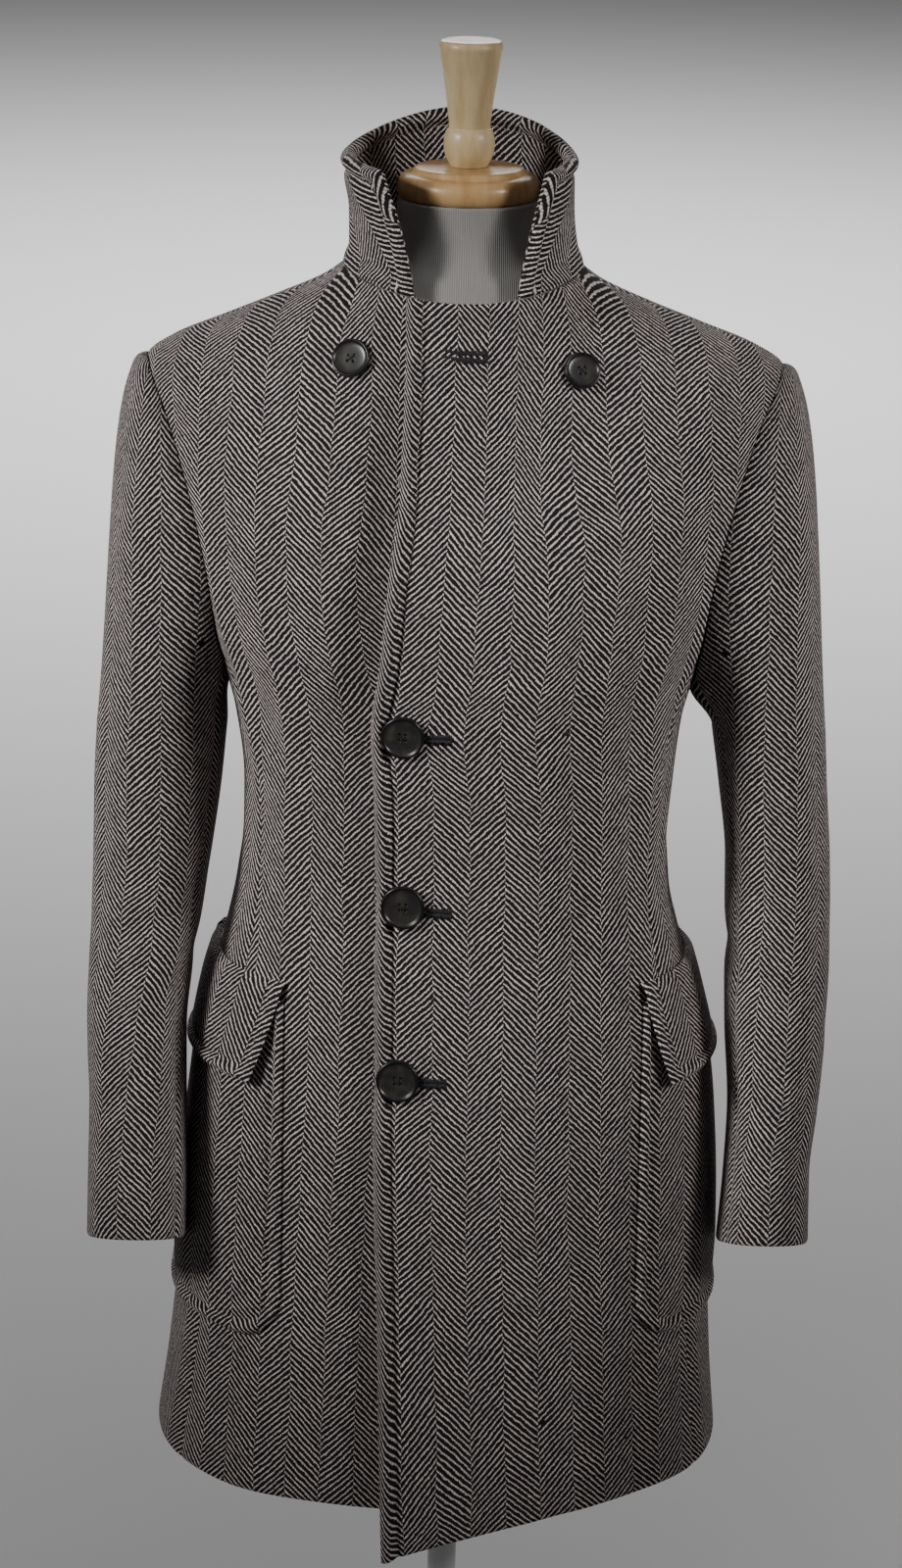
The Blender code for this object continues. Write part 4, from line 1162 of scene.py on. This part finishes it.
for side in (1, -1):
    sleeve(side, "top", SLEEVE_SEAM_BACK - 360, SLEEVE_SEAM_FRONT)
    sleeve(side, "under", SLEEVE_SEAM_FRONT, SLEEVE_SEAM_BACK)

# %% [markdown]
# ## The collar
#
# The collar is two layers sewn along the rim and turned, so the rim is a thick soft roll. Here each layer
# bulges away from the other behind the rim and then rounds back to the middle, where the two meet. The
# outer layer is the under collar, which shows because the collar is turned up. Under collars are cut on
# the bias so that they stretch round the neck, and their lines of weave lie flat and upright in turn.

# %% Collar
COLLAR_WALL = 0.0018
COLLAR_LAYER = 0.0024
COLLAR_SEAT = 0.0009
COLLAR_BACK_POWER = 1.2
COLLAR = table(("rise", "end", "right", "left", "back", "front", "back_up", "side_up", "end_up"), [
    (0.00, 157.0, 0.0870, 0.0820, 0.0770, 0.0930, 0.000, 0.000, 0.000),
    (0.18, 154.0, 0.0815, 0.0760, 0.0730, 0.0905, 0.016, 0.014, 0.015),
    (0.50, 148.0, 0.0820, 0.0730, 0.0720, 0.0890, 0.044, 0.040, 0.041),
    (0.80, 141.0, 0.0855, 0.0725, 0.0740, 0.0900, 0.071, 0.063, 0.066),
    (1.00, 136.0, 0.0850, 0.0720, 0.0740, 0.0910, 0.088, 0.078, 0.081),
])
COLLAR_LENGTHS = spaced(0.47, 0.016, 0.016, coarse=0.0026)
COLLAR_RISES = spaced(0.088, 0.006, 0.016, coarse=0.0024)
COLLAR_SEAM_DIP = 0.0012
COLLAR_STEP_UP = 0.02
BIAS = math.radians(45.0)

# The rim: how far its rounding reaches, and its swell and groove as height, place and half-width
RIM_ROUND = 0.0052
RIM_SWELL = (0.0030, 0.0050, 0.0060)
RIM_GROOVE = (0.0022, 0.0125, 0.0026)


def collar_point(length, rise):
    """The middle of the collar: length 0 at its end on the wearer's right, 1 at the left end."""
    column = read(COLLAR, rise)
    share = 2 * length - 1
    turn = np.radians(column["end"]) * share
    half = np.where(share >= 0, column["left"], column["right"])
    depth = np.where(np.cos(turn) >= 0, column["back"], column["front"])
    reach = 1 / np.sqrt((np.sin(turn) / half) ** 2 + (np.cos(turn) / depth) ** 2)
    rear = np.cos(turn)
    front_share = np.clip(rear / np.cos(np.radians(column["end"])), 0, 1) ** 2
    end_up = np.where(rear >= 0, column["back_up"], column["end_up"])
    share_of_end = np.where(rear >= 0, np.abs(rear) ** COLLAR_BACK_POWER, front_share)
    up = column["side_up"] + (end_up - column["side_up"]) * share_of_end
    neck_seam = body_point(math.pi - turn, np.full(turn.shape, NECK))[..., 2]
    return np.stack([reach * np.sin(turn), reach * np.cos(turn), neck_seam + up + COLLAR_SEAT], axis=-1)


def collar(node, outwards):
    """One layer of the collar, the outer (1) or the inner one (-1)."""
    length, rise = np.meshgrid(COLLAR_LENGTHS, COLLAR_RISES)
    middle = collar_point(length, rise)
    around = collar_point(length + NUDGE, rise) - collar_point(length - NUDGE, rise)
    higher, lower = np.clip(rise + COLLAR_STEP_UP, 0, 1), np.clip(rise - COLLAR_STEP_UP, 0, 1)
    upwards = collar_point(length, higher) - collar_point(length, lower)
    normals = -unit(np.cross(around, upwards)) * outwards
    across, up = lengths(middle, 1), lengths(middle, 0)
    inside = np.minimum.reduce([across, across[:, -1:] - across, up[-1] - up])
    swell, groove = (height * bump_at(place, half, inside) for height, place, half in (RIM_SWELL, RIM_GROOVE))
    rounding = np.sqrt(1 - np.clip(1 - inside / RIM_ROUND, 0, 1) ** 2)
    lift = (COLLAR_LAYER + swell - groove) * rounding + (SEAM_GAP if outwards < 0 else 0.0)
    lift = lift + seam_dip(up, COLLAR_SEAM_DIP)
    from_back = across - across[:, -1:] / 2
    climb = np.diff(middle, axis=0)
    along_row = unit(around[1:] + around[:-1])
    climb = climb - (climb * along_row).sum(axis=-1, keepdims=True) * along_row
    height = np.pad(np.cumsum(np.linalg.norm(climb, axis=-1), axis=0), ((1, 0), (0, 0)))
    grain = np.stack([from_back, height], axis=-1)
    if outwards > 0:
        cosine, sine = math.cos(BIAS), math.sin(BIAS)
        aside = np.abs(from_back)
        grain = np.stack([aside * cosine + height * sine, height * cosine - aside * sine], axis=-1)
    return cloth(node, middle, normals, lift, grain, COLLAR_WALL)


collar("collar_under", 1)
collar("collar_top", -1)

# %% [markdown]
# ## Patch pockets and flaps
#
# A patch pocket is a piece of the same cloth laid on the front and stitched round three sides, with its
# grain matched to the front beneath. Its flap is sewn on above it and stands off the coat at its lower
# edge, most of all at the front corner, where the picture shows a deep shadow. The flap's grain is
# parallel to its slanting front edge.

# %% Pockets
POCKET_SEAT = 0.0005

# One row a side: x of the patch's front edge, and of the flap's at its top and foot, then the angles of
# their back ends
POCKET_ROWS = [
    (-1, 0.121, 0.119, 0.138, 100.0, 103.0),
    (1, 0.137, 0.134, 0.150, 105.0, 108.0),
]
POCKET_TOP = 0.806
POCKET_FOOT = 0.556
POCKET_CORNER = 0.034
POCKET_BAND = 0.0100
POCKET_STITCHING = (0.0017, 0.0017)
POCKET_FULLNESS = 0.0020
POCKET_FULL_FROM = (0.004, 0.045)
FLAP_TOP = 0.820
FLAP_FOOT = 0.745
FLAP_WALL = 0.003
FLAP_STITCHING = (0.0018, 0.0014)
FLAP_GRAIN_START = 0.012
FLAP = table(("down", "stand_off"), [
    (0.00, 0.0010),
    (0.10, 0.0044),
    (0.35, 0.0046),
    (0.70, 0.0054),
    (1.00, 0.0064),
])
FLAP_FLARE = 0.0075
FLAP_FLARE_REACH = 0.045


def patch_turns(side, front_x, back_angle, level, share):
    """The angles of a patch, from its front edge at this x to its back end at this angle."""
    front_turn = np.abs(turn_at_x(level, side * front_x))
    return side * (front_turn + (math.radians(back_angle) - front_turn) * share)


def pocket(side, patch_x, back_angle):
    """A patch with round lower corners, its grain matched to the front beneath."""
    share = spaced(0.19, 0.040, 0.040, fine=0.0016)
    front_turn = np.abs(turn_at_x(np.full(1, POCKET_FOOT), side * patch_x))[0]
    width = (math.radians(back_angle) - front_turn) * patch_x / math.sin(front_turn)
    from_side = np.minimum(share, 1 - share) * width
    corner = np.clip(POCKET_CORNER - from_side, 0, POCKET_CORNER)
    foot = POCKET_FOOT + POCKET_CORNER - np.sqrt(POCKET_CORNER**2 - corner**2)
    level = foot + (POCKET_TOP - foot) * spaced(0.25, 0.014, 0.004, fine=0.0014)[:, None]
    turn = patch_turns(side, patch_x, back_angle, level, share)
    from_side = np.broadcast_to(from_side, level.shape)
    above_foot = level - POCKET_FOOT
    in_corner = (from_side < POCKET_CORNER) & (above_foot < POCKET_CORNER)
    round_inside = POCKET_CORNER - np.hypot(POCKET_CORNER - from_side, POCKET_CORNER - above_foot)
    inside = np.where(in_corner, round_inside, np.minimum(from_side, above_foot))
    lift = POCKET_SEAT + CLOTH + body_relief(turn, level)
    lift = lift + swelled_edge(inside, POCKET_BAND, *POCKET_STITCHING)
    lift = lift + POCKET_FULLNESS * ease_in(*POCKET_FULL_FROM, inside)
    edge = turn_at_x(level[:, :1], overlap_edge(level[:, :1]))
    grain = front_grain(side, turn, level, edge)
    plain, normals = body_point(turn, level), body_normal(turn, level)
    return cloth("pocket_" + WORD[side], plain, normals, lift, grain)


def flap(side, top_x, low_x, back_angle):
    """A flap that stands off the coat, most of all at its front corner."""
    share = spaced(0.19, 0.014, 0.012)
    down = spaced(0.075, 0.010, 0.014)[:, None]
    level = np.repeat(FLAP_TOP + (FLAP_FOOT - FLAP_TOP) * down, len(share), axis=1)
    turn = patch_turns(side, top_x + (low_x - top_x) * down, back_angle, level, share)
    plain, normals, from_front, fallen = laid(turn, level)
    inside = np.minimum.reduce([from_front, from_front[:, -1:] - from_front, fallen[-1] - fallen])
    lift = read(FLAP, np.broadcast_to(down, level.shape))["stand_off"] + CLOTH
    lift = lift + body_relief(turn, level) + swelled_edge(inside, POCKET_BAND, *FLAP_STITCHING)
    lift = lift + FLAP_FLARE * down**2 * np.exp(-from_front / FLAP_FLARE_REACH)
    grain = np.stack([from_front + FLAP_GRAIN_START, -fallen], axis=-1)
    return cloth("flap_" + WORD[side], plain, normals, lift, grain, FLAP_WALL)


for side, patch_x, flap_top_x, flap_low_x, patch_back, flap_back in POCKET_ROWS:
    pocket(side, patch_x, patch_back)
    flap(side, flap_top_x, flap_low_x, flap_back)

# %% [markdown]
# ## Buttons, buttonholes and thread
#
# The buttons are dark horn, turned on a lathe: a raised rim round a shallow dish with four holes. A lathe
# piece is an outline spun round an axis, so the outline below runs from the middle of the underside out
# over the rim and back to the middle of the dish. Points that fall inside a hole are pushed down. Thread
# is laid as fine tubes: a cross over each button, rows of close stitches round each buttonhole, and the
# small crosses that hold the hidden inner buttons.

# %% Materials of buttons and thread
THREAD = plain_material("thread", (0.010, 0.010, 0.012), 0.75)


def horn_material():
    """Polished dark horn, cloudy in the dish."""
    material = plain_material("horn", (0.012, 0.012, 0.013), 0.30)
    n = Nodes(material)
    place = n.add("ShaderNodeTexCoord").outputs["Object"]
    cloud = n.step(n.noise(place, 120.0, 3.0).outputs[0], 0.40, 0.75)
    dish = n.add("ShaderNodeAttribute", {"attribute_name": "dish"}).outputs["Fac"]
    middle = n.mix(cloud, (0.020, 0.019, 0.018, 1.0), (0.042, 0.038, 0.030, 1.0))
    n.feed(n.shader.inputs["Base Color"], n.mix(dish, (0.006, 0.006, 0.007, 1.0), middle))
    n.bump(n.noise(place, 900.0, 2.0).outputs[0], 0.05, 0.0003)
    n.set(Specular_IOR_Level=0.34, Coat_Weight=0.04, Coat_Roughness=0.08)
    return material


HORN = horn_material()

# %% Spun and tubular pieces
SPIN_STEPS = 96
WELD = 1e-6


def spun(outline):
    """A new mesh of the outline, pairs of radius and height, spun round the upright axis."""
    bm = bmesh.new()
    verts = [bm.verts.new((r, 0.0, z)) for r, z in outline]
    edges = [bm.edges.new(pair) for pair in zip(verts, verts[1:])]
    bmesh.ops.spin(
        bm, geom=verts + edges, axis=(0, 0, 1), cent=(0, 0, 0), angle=2 * math.pi, steps=SPIN_STEPS,
        use_merge=True,
    )
    return bm


def add_tube(bm, path, radius, sides=5):
    """A tube along a path, drawn to a point at both ends."""
    path = [Vector(point) for point in path]
    made = bmesh.ops.create_grid(bm, x_segments=sides, y_segments=len(path) - 1, size=0.5)["verts"]
    for vert in made:
        column = round((vert.co.x + 0.5) * sides)
        row = round((vert.co.y + 0.5) * (len(path) - 1))
        ahead = path[min(row + 1, len(path) - 1)] - path[max(row - 1, 0)]
        side = ahead.orthogonal().normalized()
        other = ahead.cross(side).normalized()
        angle = 2 * math.pi * column / sides
        thick = radius if 0 < row < len(path) - 1 else radius * 0.02
        vert.co = path[row] + (side * math.cos(angle) + other * math.sin(angle)) * thick


def finish_mesh(bm, name, material, node=None):
    """Welds, turns the faces outwards, and places the piece."""
    bmesh.ops.remove_doubles(bm, verts=bm.verts[:], dist=WELD)
    bmesh.ops.recalc_face_normals(bm, faces=bm.faces[:])
    mesh = bpy.data.meshes.new(name)
    bm.to_mesh(mesh)
    bm.free()
    mesh.shade_smooth()
    return placed(name, mesh, material, node)


print("spun in", SPIN_STEPS, "steps")

# %% Turned buttons
# One row a button: x, level, radius, how far it sits off the cloth
BUTTON_ROWS = {
    "button_front_top": (-0.038, 1.0190, 0.0156, 0.0001),
    "button_front_middle": (-0.036, 0.8880, 0.0158, 0.0010),
    "button_front_low": (-0.038, 0.7600, 0.0156, 0.0004),
    "button_chest_right": (-0.0785, 1.2984, 0.0138, 0.0009),
    "button_chest_left": (0.0800, 1.2947, 0.0130, 0.0000),
}
HOLE_OUT = 0.0021
HOLE_RADIUS = 0.00105
HOLE_DEPTH = 0.0015
HOLE_WALL = 0.75

# A button's outline: share of its radius, height
BUTTON_OUTLINE = [
    (0.55, 0.0000),
    (0.88, 0.0000),
    (0.97, 0.0006),
    (1.00, 0.0016),
    (1.00, 0.0028),
    (0.985, 0.0036),
    (0.95, 0.0041),
    (0.91, 0.0042),
    (0.87, 0.0040),
    (0.84, 0.0035),
    (0.81, 0.0030),
    (0.75, 0.0027),
    (0.62, 0.0025),
]
DISH = 0.0024
DISH_RADIUS = 0.0058
DISH_MIDDLE = 0.0002
DISH_STEP = 0.00024
DISH_COLOUR_FROM = (0.88, 0.80)

# A stitch from hole to hole: share of the way, height over the dish
THREAD_RADIUS = 0.00038
THREAD_SIDES = 6
THREAD_OVER = [
    (0.0, -0.0008),
    (0.04, 0.0001),
    (0.2, 0.00042),
    (0.5, 0.0005),
    (0.8, 0.00042),
    (0.96, 0.0001),
    (1.0, -0.0008),
]
THREAD_CROSSING = 0.0002


def button_frame(across, level, radius, seat):
    """Where a button sits: a matrix whose Z is square to the cloth."""
    turn = turn_at_x(np.array(level), np.array(across))
    over = across > EDGE["edge_x"].min()
    lift = overlap_lift(across - radius) if over else 0.0
    middle = Vector(body_off(turn, np.array(level), np.array(lift + seat)))
    out = Vector(body_normal(turn, np.array(level)))
    side = out.cross(Vector((0, 0, 1))).normalized() * -1
    up = out.cross(side)
    return Matrix.Translation(middle) @ Matrix((side, up, out)).transposed().to_4x4()


def button(node, across, level, radius, seat):
    """A turned button with four holes, and the cross of thread that holds it."""
    place = button_frame(across, level, radius, seat)
    rim = [(radius * share, height) for share, height in BUTTON_OUTLINE]
    dish = [(r, DISH) for r in np.arange(DISH_RADIUS, DISH_MIDDLE, -DISH_STEP)]
    bm = spun([(0.0, 0.0)] + rim + dish + [(0.0, DISH)])
    for vert in bm.verts:
        if vert.co.z > DISH - WELD and vert.co.xy.length < DISH_RADIUS + DISH_STEP:
            away = math.hypot(abs(vert.co.x) - HOLE_OUT, abs(vert.co.y) - HOLE_OUT)
            vert.co.z -= HOLE_DEPTH * float(1 - ease_in(HOLE_WALL * HOLE_RADIUS, HOLE_RADIUS, away))
    bmesh.ops.transform(bm, matrix=place, verts=bm.verts[:])
    mesh = finish_mesh(bm, node + "_horn", HORN, node).data
    from_axis = np.array([(place.inverted() @ vert.co).xy.length / radius for vert in mesh.vertices])
    in_dish = mesh.attributes.new("dish", "FLOAT", "POINT")
    in_dish.data.foreach_set("value", ease_in(*DISH_COLOUR_FROM, from_axis))
    bm = bmesh.new()
    for way in (1, -1):
        first, last = (Vector((end * HOLE_OUT, end * way * HOLE_OUT, DISH)) for end in (-1, 1))
        path = []
        for share, height in THREAD_OVER:
            crossing = THREAD_CROSSING * way if share == 0.5 else 0.0
            path.append(place @ (first.lerp(last, share) + Vector((0, 0, height + crossing))))
        add_tube(bm, path, THREAD_RADIUS, THREAD_SIDES)
    return finish_mesh(bm, node + "_thread", THREAD)


for node, row in BUTTON_ROWS.items():
    button(node, *row)
print(len(BUTTON_ROWS), "buttons")

# %% Worked buttonholes and tacks
# One row a buttonhole: name, from x to x, level at its two ends, reach of its stitches
BUTTONHOLE_ROWS = [
    ("buttonhole_top", -0.0215, -0.0055, 1.0180, 1.0180, 0.0044),
    ("buttonhole_middle", -0.0195, -0.0030, 0.8845, 0.8835, 0.0042),
    ("buttonhole_low", -0.0215, -0.0045, 0.7590, 0.7585, 0.0040),
    ("buttonhole_neck", -0.0165, 0.0140, 1.3110, 1.3100, 0.0022),
]
TACK_ROWS = [
    ("tack_upper", 0.076, 1.0200),
    ("tack_lower", 0.0765, 0.7650),
]
SLIT_HALF = 0.0004

# Stitches of a buttonhole: step, length as a share of its reach, slant, radius
STITCH_STEP = 0.00105
STITCH_SHARE = (0.60, 1.10)
STITCH_SLANT = 0.0004
STITCH_RADIUS = (0.00056, 0.00072)

# The cord along each lip, and the stitches of bars and tacks: share of their reach where they bend, height
# at the middle, fall to the ends
CORD_RADIUS = 0.0005
CORD_POINTS = 14
CORD_LIFT = 0.0007
CORD_WOBBLE = 0.0003
BAR_OFFSETS = (-0.0006, 0.0002, 0.0010)
BAR_SHAPE = (0.6, 0.0006, 0.0008)
TACK_ANGLES = (35, 140, 90)
TACK_REACH = 0.0026
TACK_SHAPE = (0.7, 0.0009, 0.0012)
seeded = np.random.default_rng(7)


def front_spot(across, level, lift):
    """A place on the overlapping front."""
    turn = turn_at_x(np.array(level), np.array(across))
    height = overlap_lift(across) + float(body_relief(turn, np.array(level))) + lift
    return Vector(body_off(turn, np.array(level), np.array(height)))


def humped(across, level, aside, up, bend, top, fall):
    """A short straight stitch over the cloth, whose two ends go under it."""
    shares = (-1, -bend, 0, bend, 1)
    return [front_spot(across + aside * t, level + up * t, top - abs(t) * fall) for t in shares]


def buttonhole(name, first_x, last_x, first_level, last_level, stitch):
    """Close stitches on both sides of a slit, a cord along each lip and a bar across the end."""
    bm = bmesh.new()
    wide, high = last_x - first_x, last_level - first_level
    count = round(wide / STITCH_STEP)
    for index in range(count + 1):
        across, level = first_x + wide * index / count, first_level + high * index / count
        for way in (1, -1):
            reach = stitch * seeded.uniform(*STITCH_SHARE)
            slant = seeded.uniform(-STITCH_SLANT, STITCH_SLANT)
            path = [
                front_spot(across, level + way * SLIT_HALF, -0.0004),
                front_spot(across, level + way * SLIT_HALF * 1.6, 0.0007),
                front_spot(across + slant / 2, level + way * reach * 0.6, 0.0008),
                front_spot(across + slant, level + way * reach * 0.93, 0.0004),
                front_spot(across + slant, level + way * reach, -0.0005),
            ]
            add_tube(bm, path, seeded.uniform(*STITCH_RADIUS))
    for way in (1, -1):
        path = []
        for share in np.linspace(0, 1, CORD_POINTS):
            off_slit = way * (SLIT_HALF * 1.5 + CORD_WOBBLE * math.sin(9 * share + way))
            path.append(front_spot(first_x + wide * share, first_level + high * share + off_slit, CORD_LIFT))
        add_tube(bm, path, CORD_RADIUS)
    for offset in BAR_OFFSETS:
        add_tube(bm, humped(last_x + offset, last_level, 0.0, stitch, *BAR_SHAPE), CORD_RADIUS)
    return finish_mesh(bm, name, THREAD)


def tack(name, across, level):
    """A small star of thread that holds an inner button."""
    bm = bmesh.new()
    for angle in TACK_ANGLES:
        aside, up = (TACK_REACH * way(math.radians(angle)) for way in (math.cos, math.sin))
        add_tube(bm, humped(across, level, aside, up, *TACK_SHAPE), CORD_RADIUS)
    return finish_mesh(bm, name, THREAD)


for row in BUTTONHOLE_ROWS:
    buttonhole(*row)
for row in TACK_ROWS:
    tack(*row)
print(len(BUTTONHOLE_ROWS), "buttonholes and", len(TACK_ROWS), "tacks")

# %% [markdown]
# ## The dress form
#
# The form is a padded shape under a ribbed jersey cover. It follows the inside of the coat with a little
# room, and its neck comes up through the collar. The wooden cap and finial are turned and varnished, and
# the pole and base are painted white.

# %% Jersey, wood and paint
RIB = 0.0016


def jersey_material():
    """Fine ribbed jersey, drawn from the map of the grain, with painted shade in the grooves between its
    ribs.
    """
    material = plain_material("jersey", (0.36, 0.35, 0.33), 0.9)
    n = Nodes(material)
    grain = n.add("ShaderNodeUVMap", {"uv_map": "grain"}).outputs[0]
    place = n.add("ShaderNodeSeparateXYZ", Vector=grain)
    rib = n.sum("SINE", n.sum("MULTIPLY", place.outputs[0], 2 * math.pi / RIB))
    knit = n.sum("SINE", n.sum("MULTIPLY", place.outputs[1], 2 * math.pi / RIB))
    fuzz = n.noise(grain, 900.0, 2.0).outputs[0]
    # Painted shade: the colour follows the rib's bump and darkens in the grooves between the ribs.
    shade = n.step(n.sum("MULTIPLY_ADD", fuzz, 0.6, rib), -0.8, 1.2)
    n.feed(n.shader.inputs["Base Color"], n.mix(shade, (0.20, 0.190, 0.180, 1.0), (0.30, 0.288, 0.272, 1.0)))
    n.bump(n.sum("MULTIPLY_ADD", knit, 0.25, rib), 0.5, 0.0004)
    n.set(Sheen_Weight=0.1)
    return material


def wood_material(name, pale, dark, roughness):
    """Varnished wood with an upright figure."""
    material = plain_material(name, pale[:3], roughness)
    n = Nodes(material)
    place = n.add("ShaderNodeTexCoord").outputs["Object"]
    stretch = n.add("ShaderNodeMapping", Vector=place, Scale=(1.0, 0.35, 0.22))
    figure = n.noise(stretch.outputs[0], 130.0, 4.0, 0.6).outputs[0]
    n.feed(n.shader.inputs["Base Color"], n.mix(n.step(figure, 0.36, 0.66), pale, dark))
    n.bump(figure, 0.06, 0.0004)
    n.set(Coat_Weight=0.12, Coat_Roughness=0.15)
    return material


JERSEY = jersey_material()
CAP_WOOD = wood_material("cap_wood", (0.53, 0.33, 0.145, 1.0), (0.40, 0.225, 0.085, 1.0), 0.42)
FINIAL_WOOD = wood_material("finial_wood", (0.69, 0.53, 0.30, 1.0), (0.58, 0.42, 0.21, 1.0), 0.40)
WHITE_PAINT = plain_material("white_paint", (0.78, 0.78, 0.77), 0.28)
Nodes(WHITE_PAINT).set(Coat_Weight=0.4)
print(len(bpy.data.materials), "materials")

# %% Torso
TORSO_FOOT = 0.62
TORSO_SHOULDER = 1.315
EASE = table(("level", "front", "side", "back"), [
    (0.620, 0.0300, 0.0260, 0.0280),
    (0.750, 0.0260, 0.0200, 0.0220),
    (0.910, 0.0120, 0.0080, 0.0100),
    (1.030, 0.0115, 0.0080, 0.0080),
    (1.120, 0.0130, 0.0220, 0.0070),
    (1.200, 0.0130, 0.0260, 0.0060),
    (1.245, 0.0110, 0.0220, 0.0040),
    (1.258, 0.0042, 0.0150, 0.0036),
    (1.271, 0.0034, 0.0032, 0.0028),
    (1.285, 0.0030, 0.0016, 0.0024),
    (1.300, 0.0030, 0.0012, 0.0022),
    (1.315, 0.0060, 0.0030, 0.0040),
])
FORM_NECK = table(("height", "half", "depth", "centre"), [
    (1.3240, 0.0690, 0.0680, -0.004),
    (1.3340, 0.0580, 0.0600, -0.001),
    (1.3480, 0.0525, 0.0540, 0.000),
    (1.3600, 0.0508, 0.0515, 0.000),
    (1.3735, 0.0500, 0.0500, 0.000),
])
TORSO_COLUMNS = 128
TORSO_LOWER_ROWS = 90
TORSO_UPPER_ROWS = 24
FORM_NECK_STEPS = 30


def torso():
    """The padded torso and its neck, as one closed shape."""
    angle = np.linspace(-math.pi, math.pi, TORSO_COLUMNS + 1)
    lower = np.linspace(TORSO_FOOT, ARM_TIP, TORSO_LOWER_ROWS)
    upper = np.linspace(ARM_TIP, TORSO_SHOULDER, TORSO_UPPER_ROWS)[1:]
    levels = np.concatenate([lower, upper])[:, None]
    room = read(EASE, levels)
    ends = np.where(np.cos(angle) >= 0, room["front"], room["back"])
    room_at = room["side"] + (ends - room["side"]) * np.cos(angle) ** 2
    level = np.repeat(levels, len(angle), axis=1)
    body = body_off(np.broadcast_to(angle, level.shape), level, -CLOTH - room_at)
    body[0, :, 2] = TORSO_FOOT
    height = np.linspace(FORM_NECK["height"][0], FORM_NECK["height"][-1], FORM_NECK_STEPS)[:, None]
    ring = read(FORM_NECK, height)
    across, along = ring["half"] * np.sin(angle), ring["centre"] - ring["depth"] * np.cos(angle)
    neck = np.stack(np.broadcast_arrays(across, along, height), axis=-1)
    points = np.concatenate([body, neck])
    around = lengths(points, 1)
    grain = np.stack([around - around[:, [TORSO_COLUMNS // 2]], points[..., 2]], axis=-1)
    outwards = np.stack([points[..., 0], points[..., 1], 0 * points[..., 2]], axis=-1)
    mesh = grid_mesh("form_torso_jersey", points, outwards, grain)
    bm = bmesh.new()
    bm.from_mesh(mesh)
    bmesh.ops.remove_doubles(bm, verts=bm.verts[:], dist=WELD)
    rims = [edge for edge in bm.edges if edge.is_boundary]
    bmesh.ops.holes_fill(bm, edges=rims, sides=0)
    bmesh.ops.recalc_face_normals(bm, faces=bm.faces[:])
    bm.to_mesh(mesh)
    bm.free()
    return placed("form_torso_jersey", mesh, JERSEY, "form_torso")


torso()

# %% Turned wood, pole and base
POLE_RADIUS = 0.011
POLE_FOOT = 0.0143
PART_GAP = 0.0003
CAP_OUTLINE = [
    (0.0470, 1.3738),
    (0.0495, 1.3760),
    (0.0505, 1.3815),
    (0.0495, 1.3870),
    (0.0460, 1.3905),
    (0.0415, 1.3912),
    (0.0400, 1.3908),
    (0.0388, 1.3930),
    (0.0380, 1.3948),
    (0.0360, 1.3955),
    (0.0180, 1.3955),
]
FINIAL_OUTLINE = [
    (0.0128, 1.3958),
    (0.0140, 1.3975),
    (0.0170, 1.4030),
    (0.0182, 1.4105),
    (0.0178, 1.4170),
    (0.0160, 1.4218),
    (0.0146, 1.4226),
    (0.0146, 1.4240),
    (0.0150, 1.4300),
    (0.0180, 1.4520),
    (0.0220, 1.4760),
    (0.0228, 1.4800),
    (0.0218, 1.4835),
    (0.0190, 1.4845),
    (0.0100, 1.4845),
]
BASE_OUTLINE = [
    (0.1940, 0.0000),
    (0.1970, 0.0020),
    (0.1970, 0.0070),
    (0.1930, 0.0095),
    (0.0600, 0.0130),
    (0.0300, 0.0140),
]
POLE_OUTLINE = [(POLE_RADIUS, POLE_FOOT), (POLE_RADIUS, TORSO_FOOT - PART_GAP)]
CORNER_CUTS = 2
CORNER_SHARES = (0.25, 0.75)


def rounded(outline):
    """The outline with each corner cut off twice, which rounds it."""
    for _ in range(CORNER_CUTS):
        cut = [outline[0]]
        for (r0, z0), (r1, z1) in zip(outline, outline[1:]):
            cut += [(r0 + (r1 - r0) * share, z0 + (z1 - z0) * share) for share in CORNER_SHARES]
        outline = cut + [outline[-1]]
    return outline


def turned(node, outline, material):
    """A piece turned on a lathe: its outline closed to the axis at both ends, and spun."""
    bm = spun([(0.0, outline[0][1])] + outline + [(0.0, outline[-1][1])])
    return finish_mesh(bm, node + "_turned", material, node)


turned("form_neck_cap", rounded(CAP_OUTLINE), CAP_WOOD)
turned("form_finial", rounded(FINIAL_OUTLINE), FINIAL_WOOD)
turned("form_pole", POLE_OUTLINE, WHITE_PAINT)
turned("form_base", rounded(BASE_OUTLINE), WHITE_PAINT)
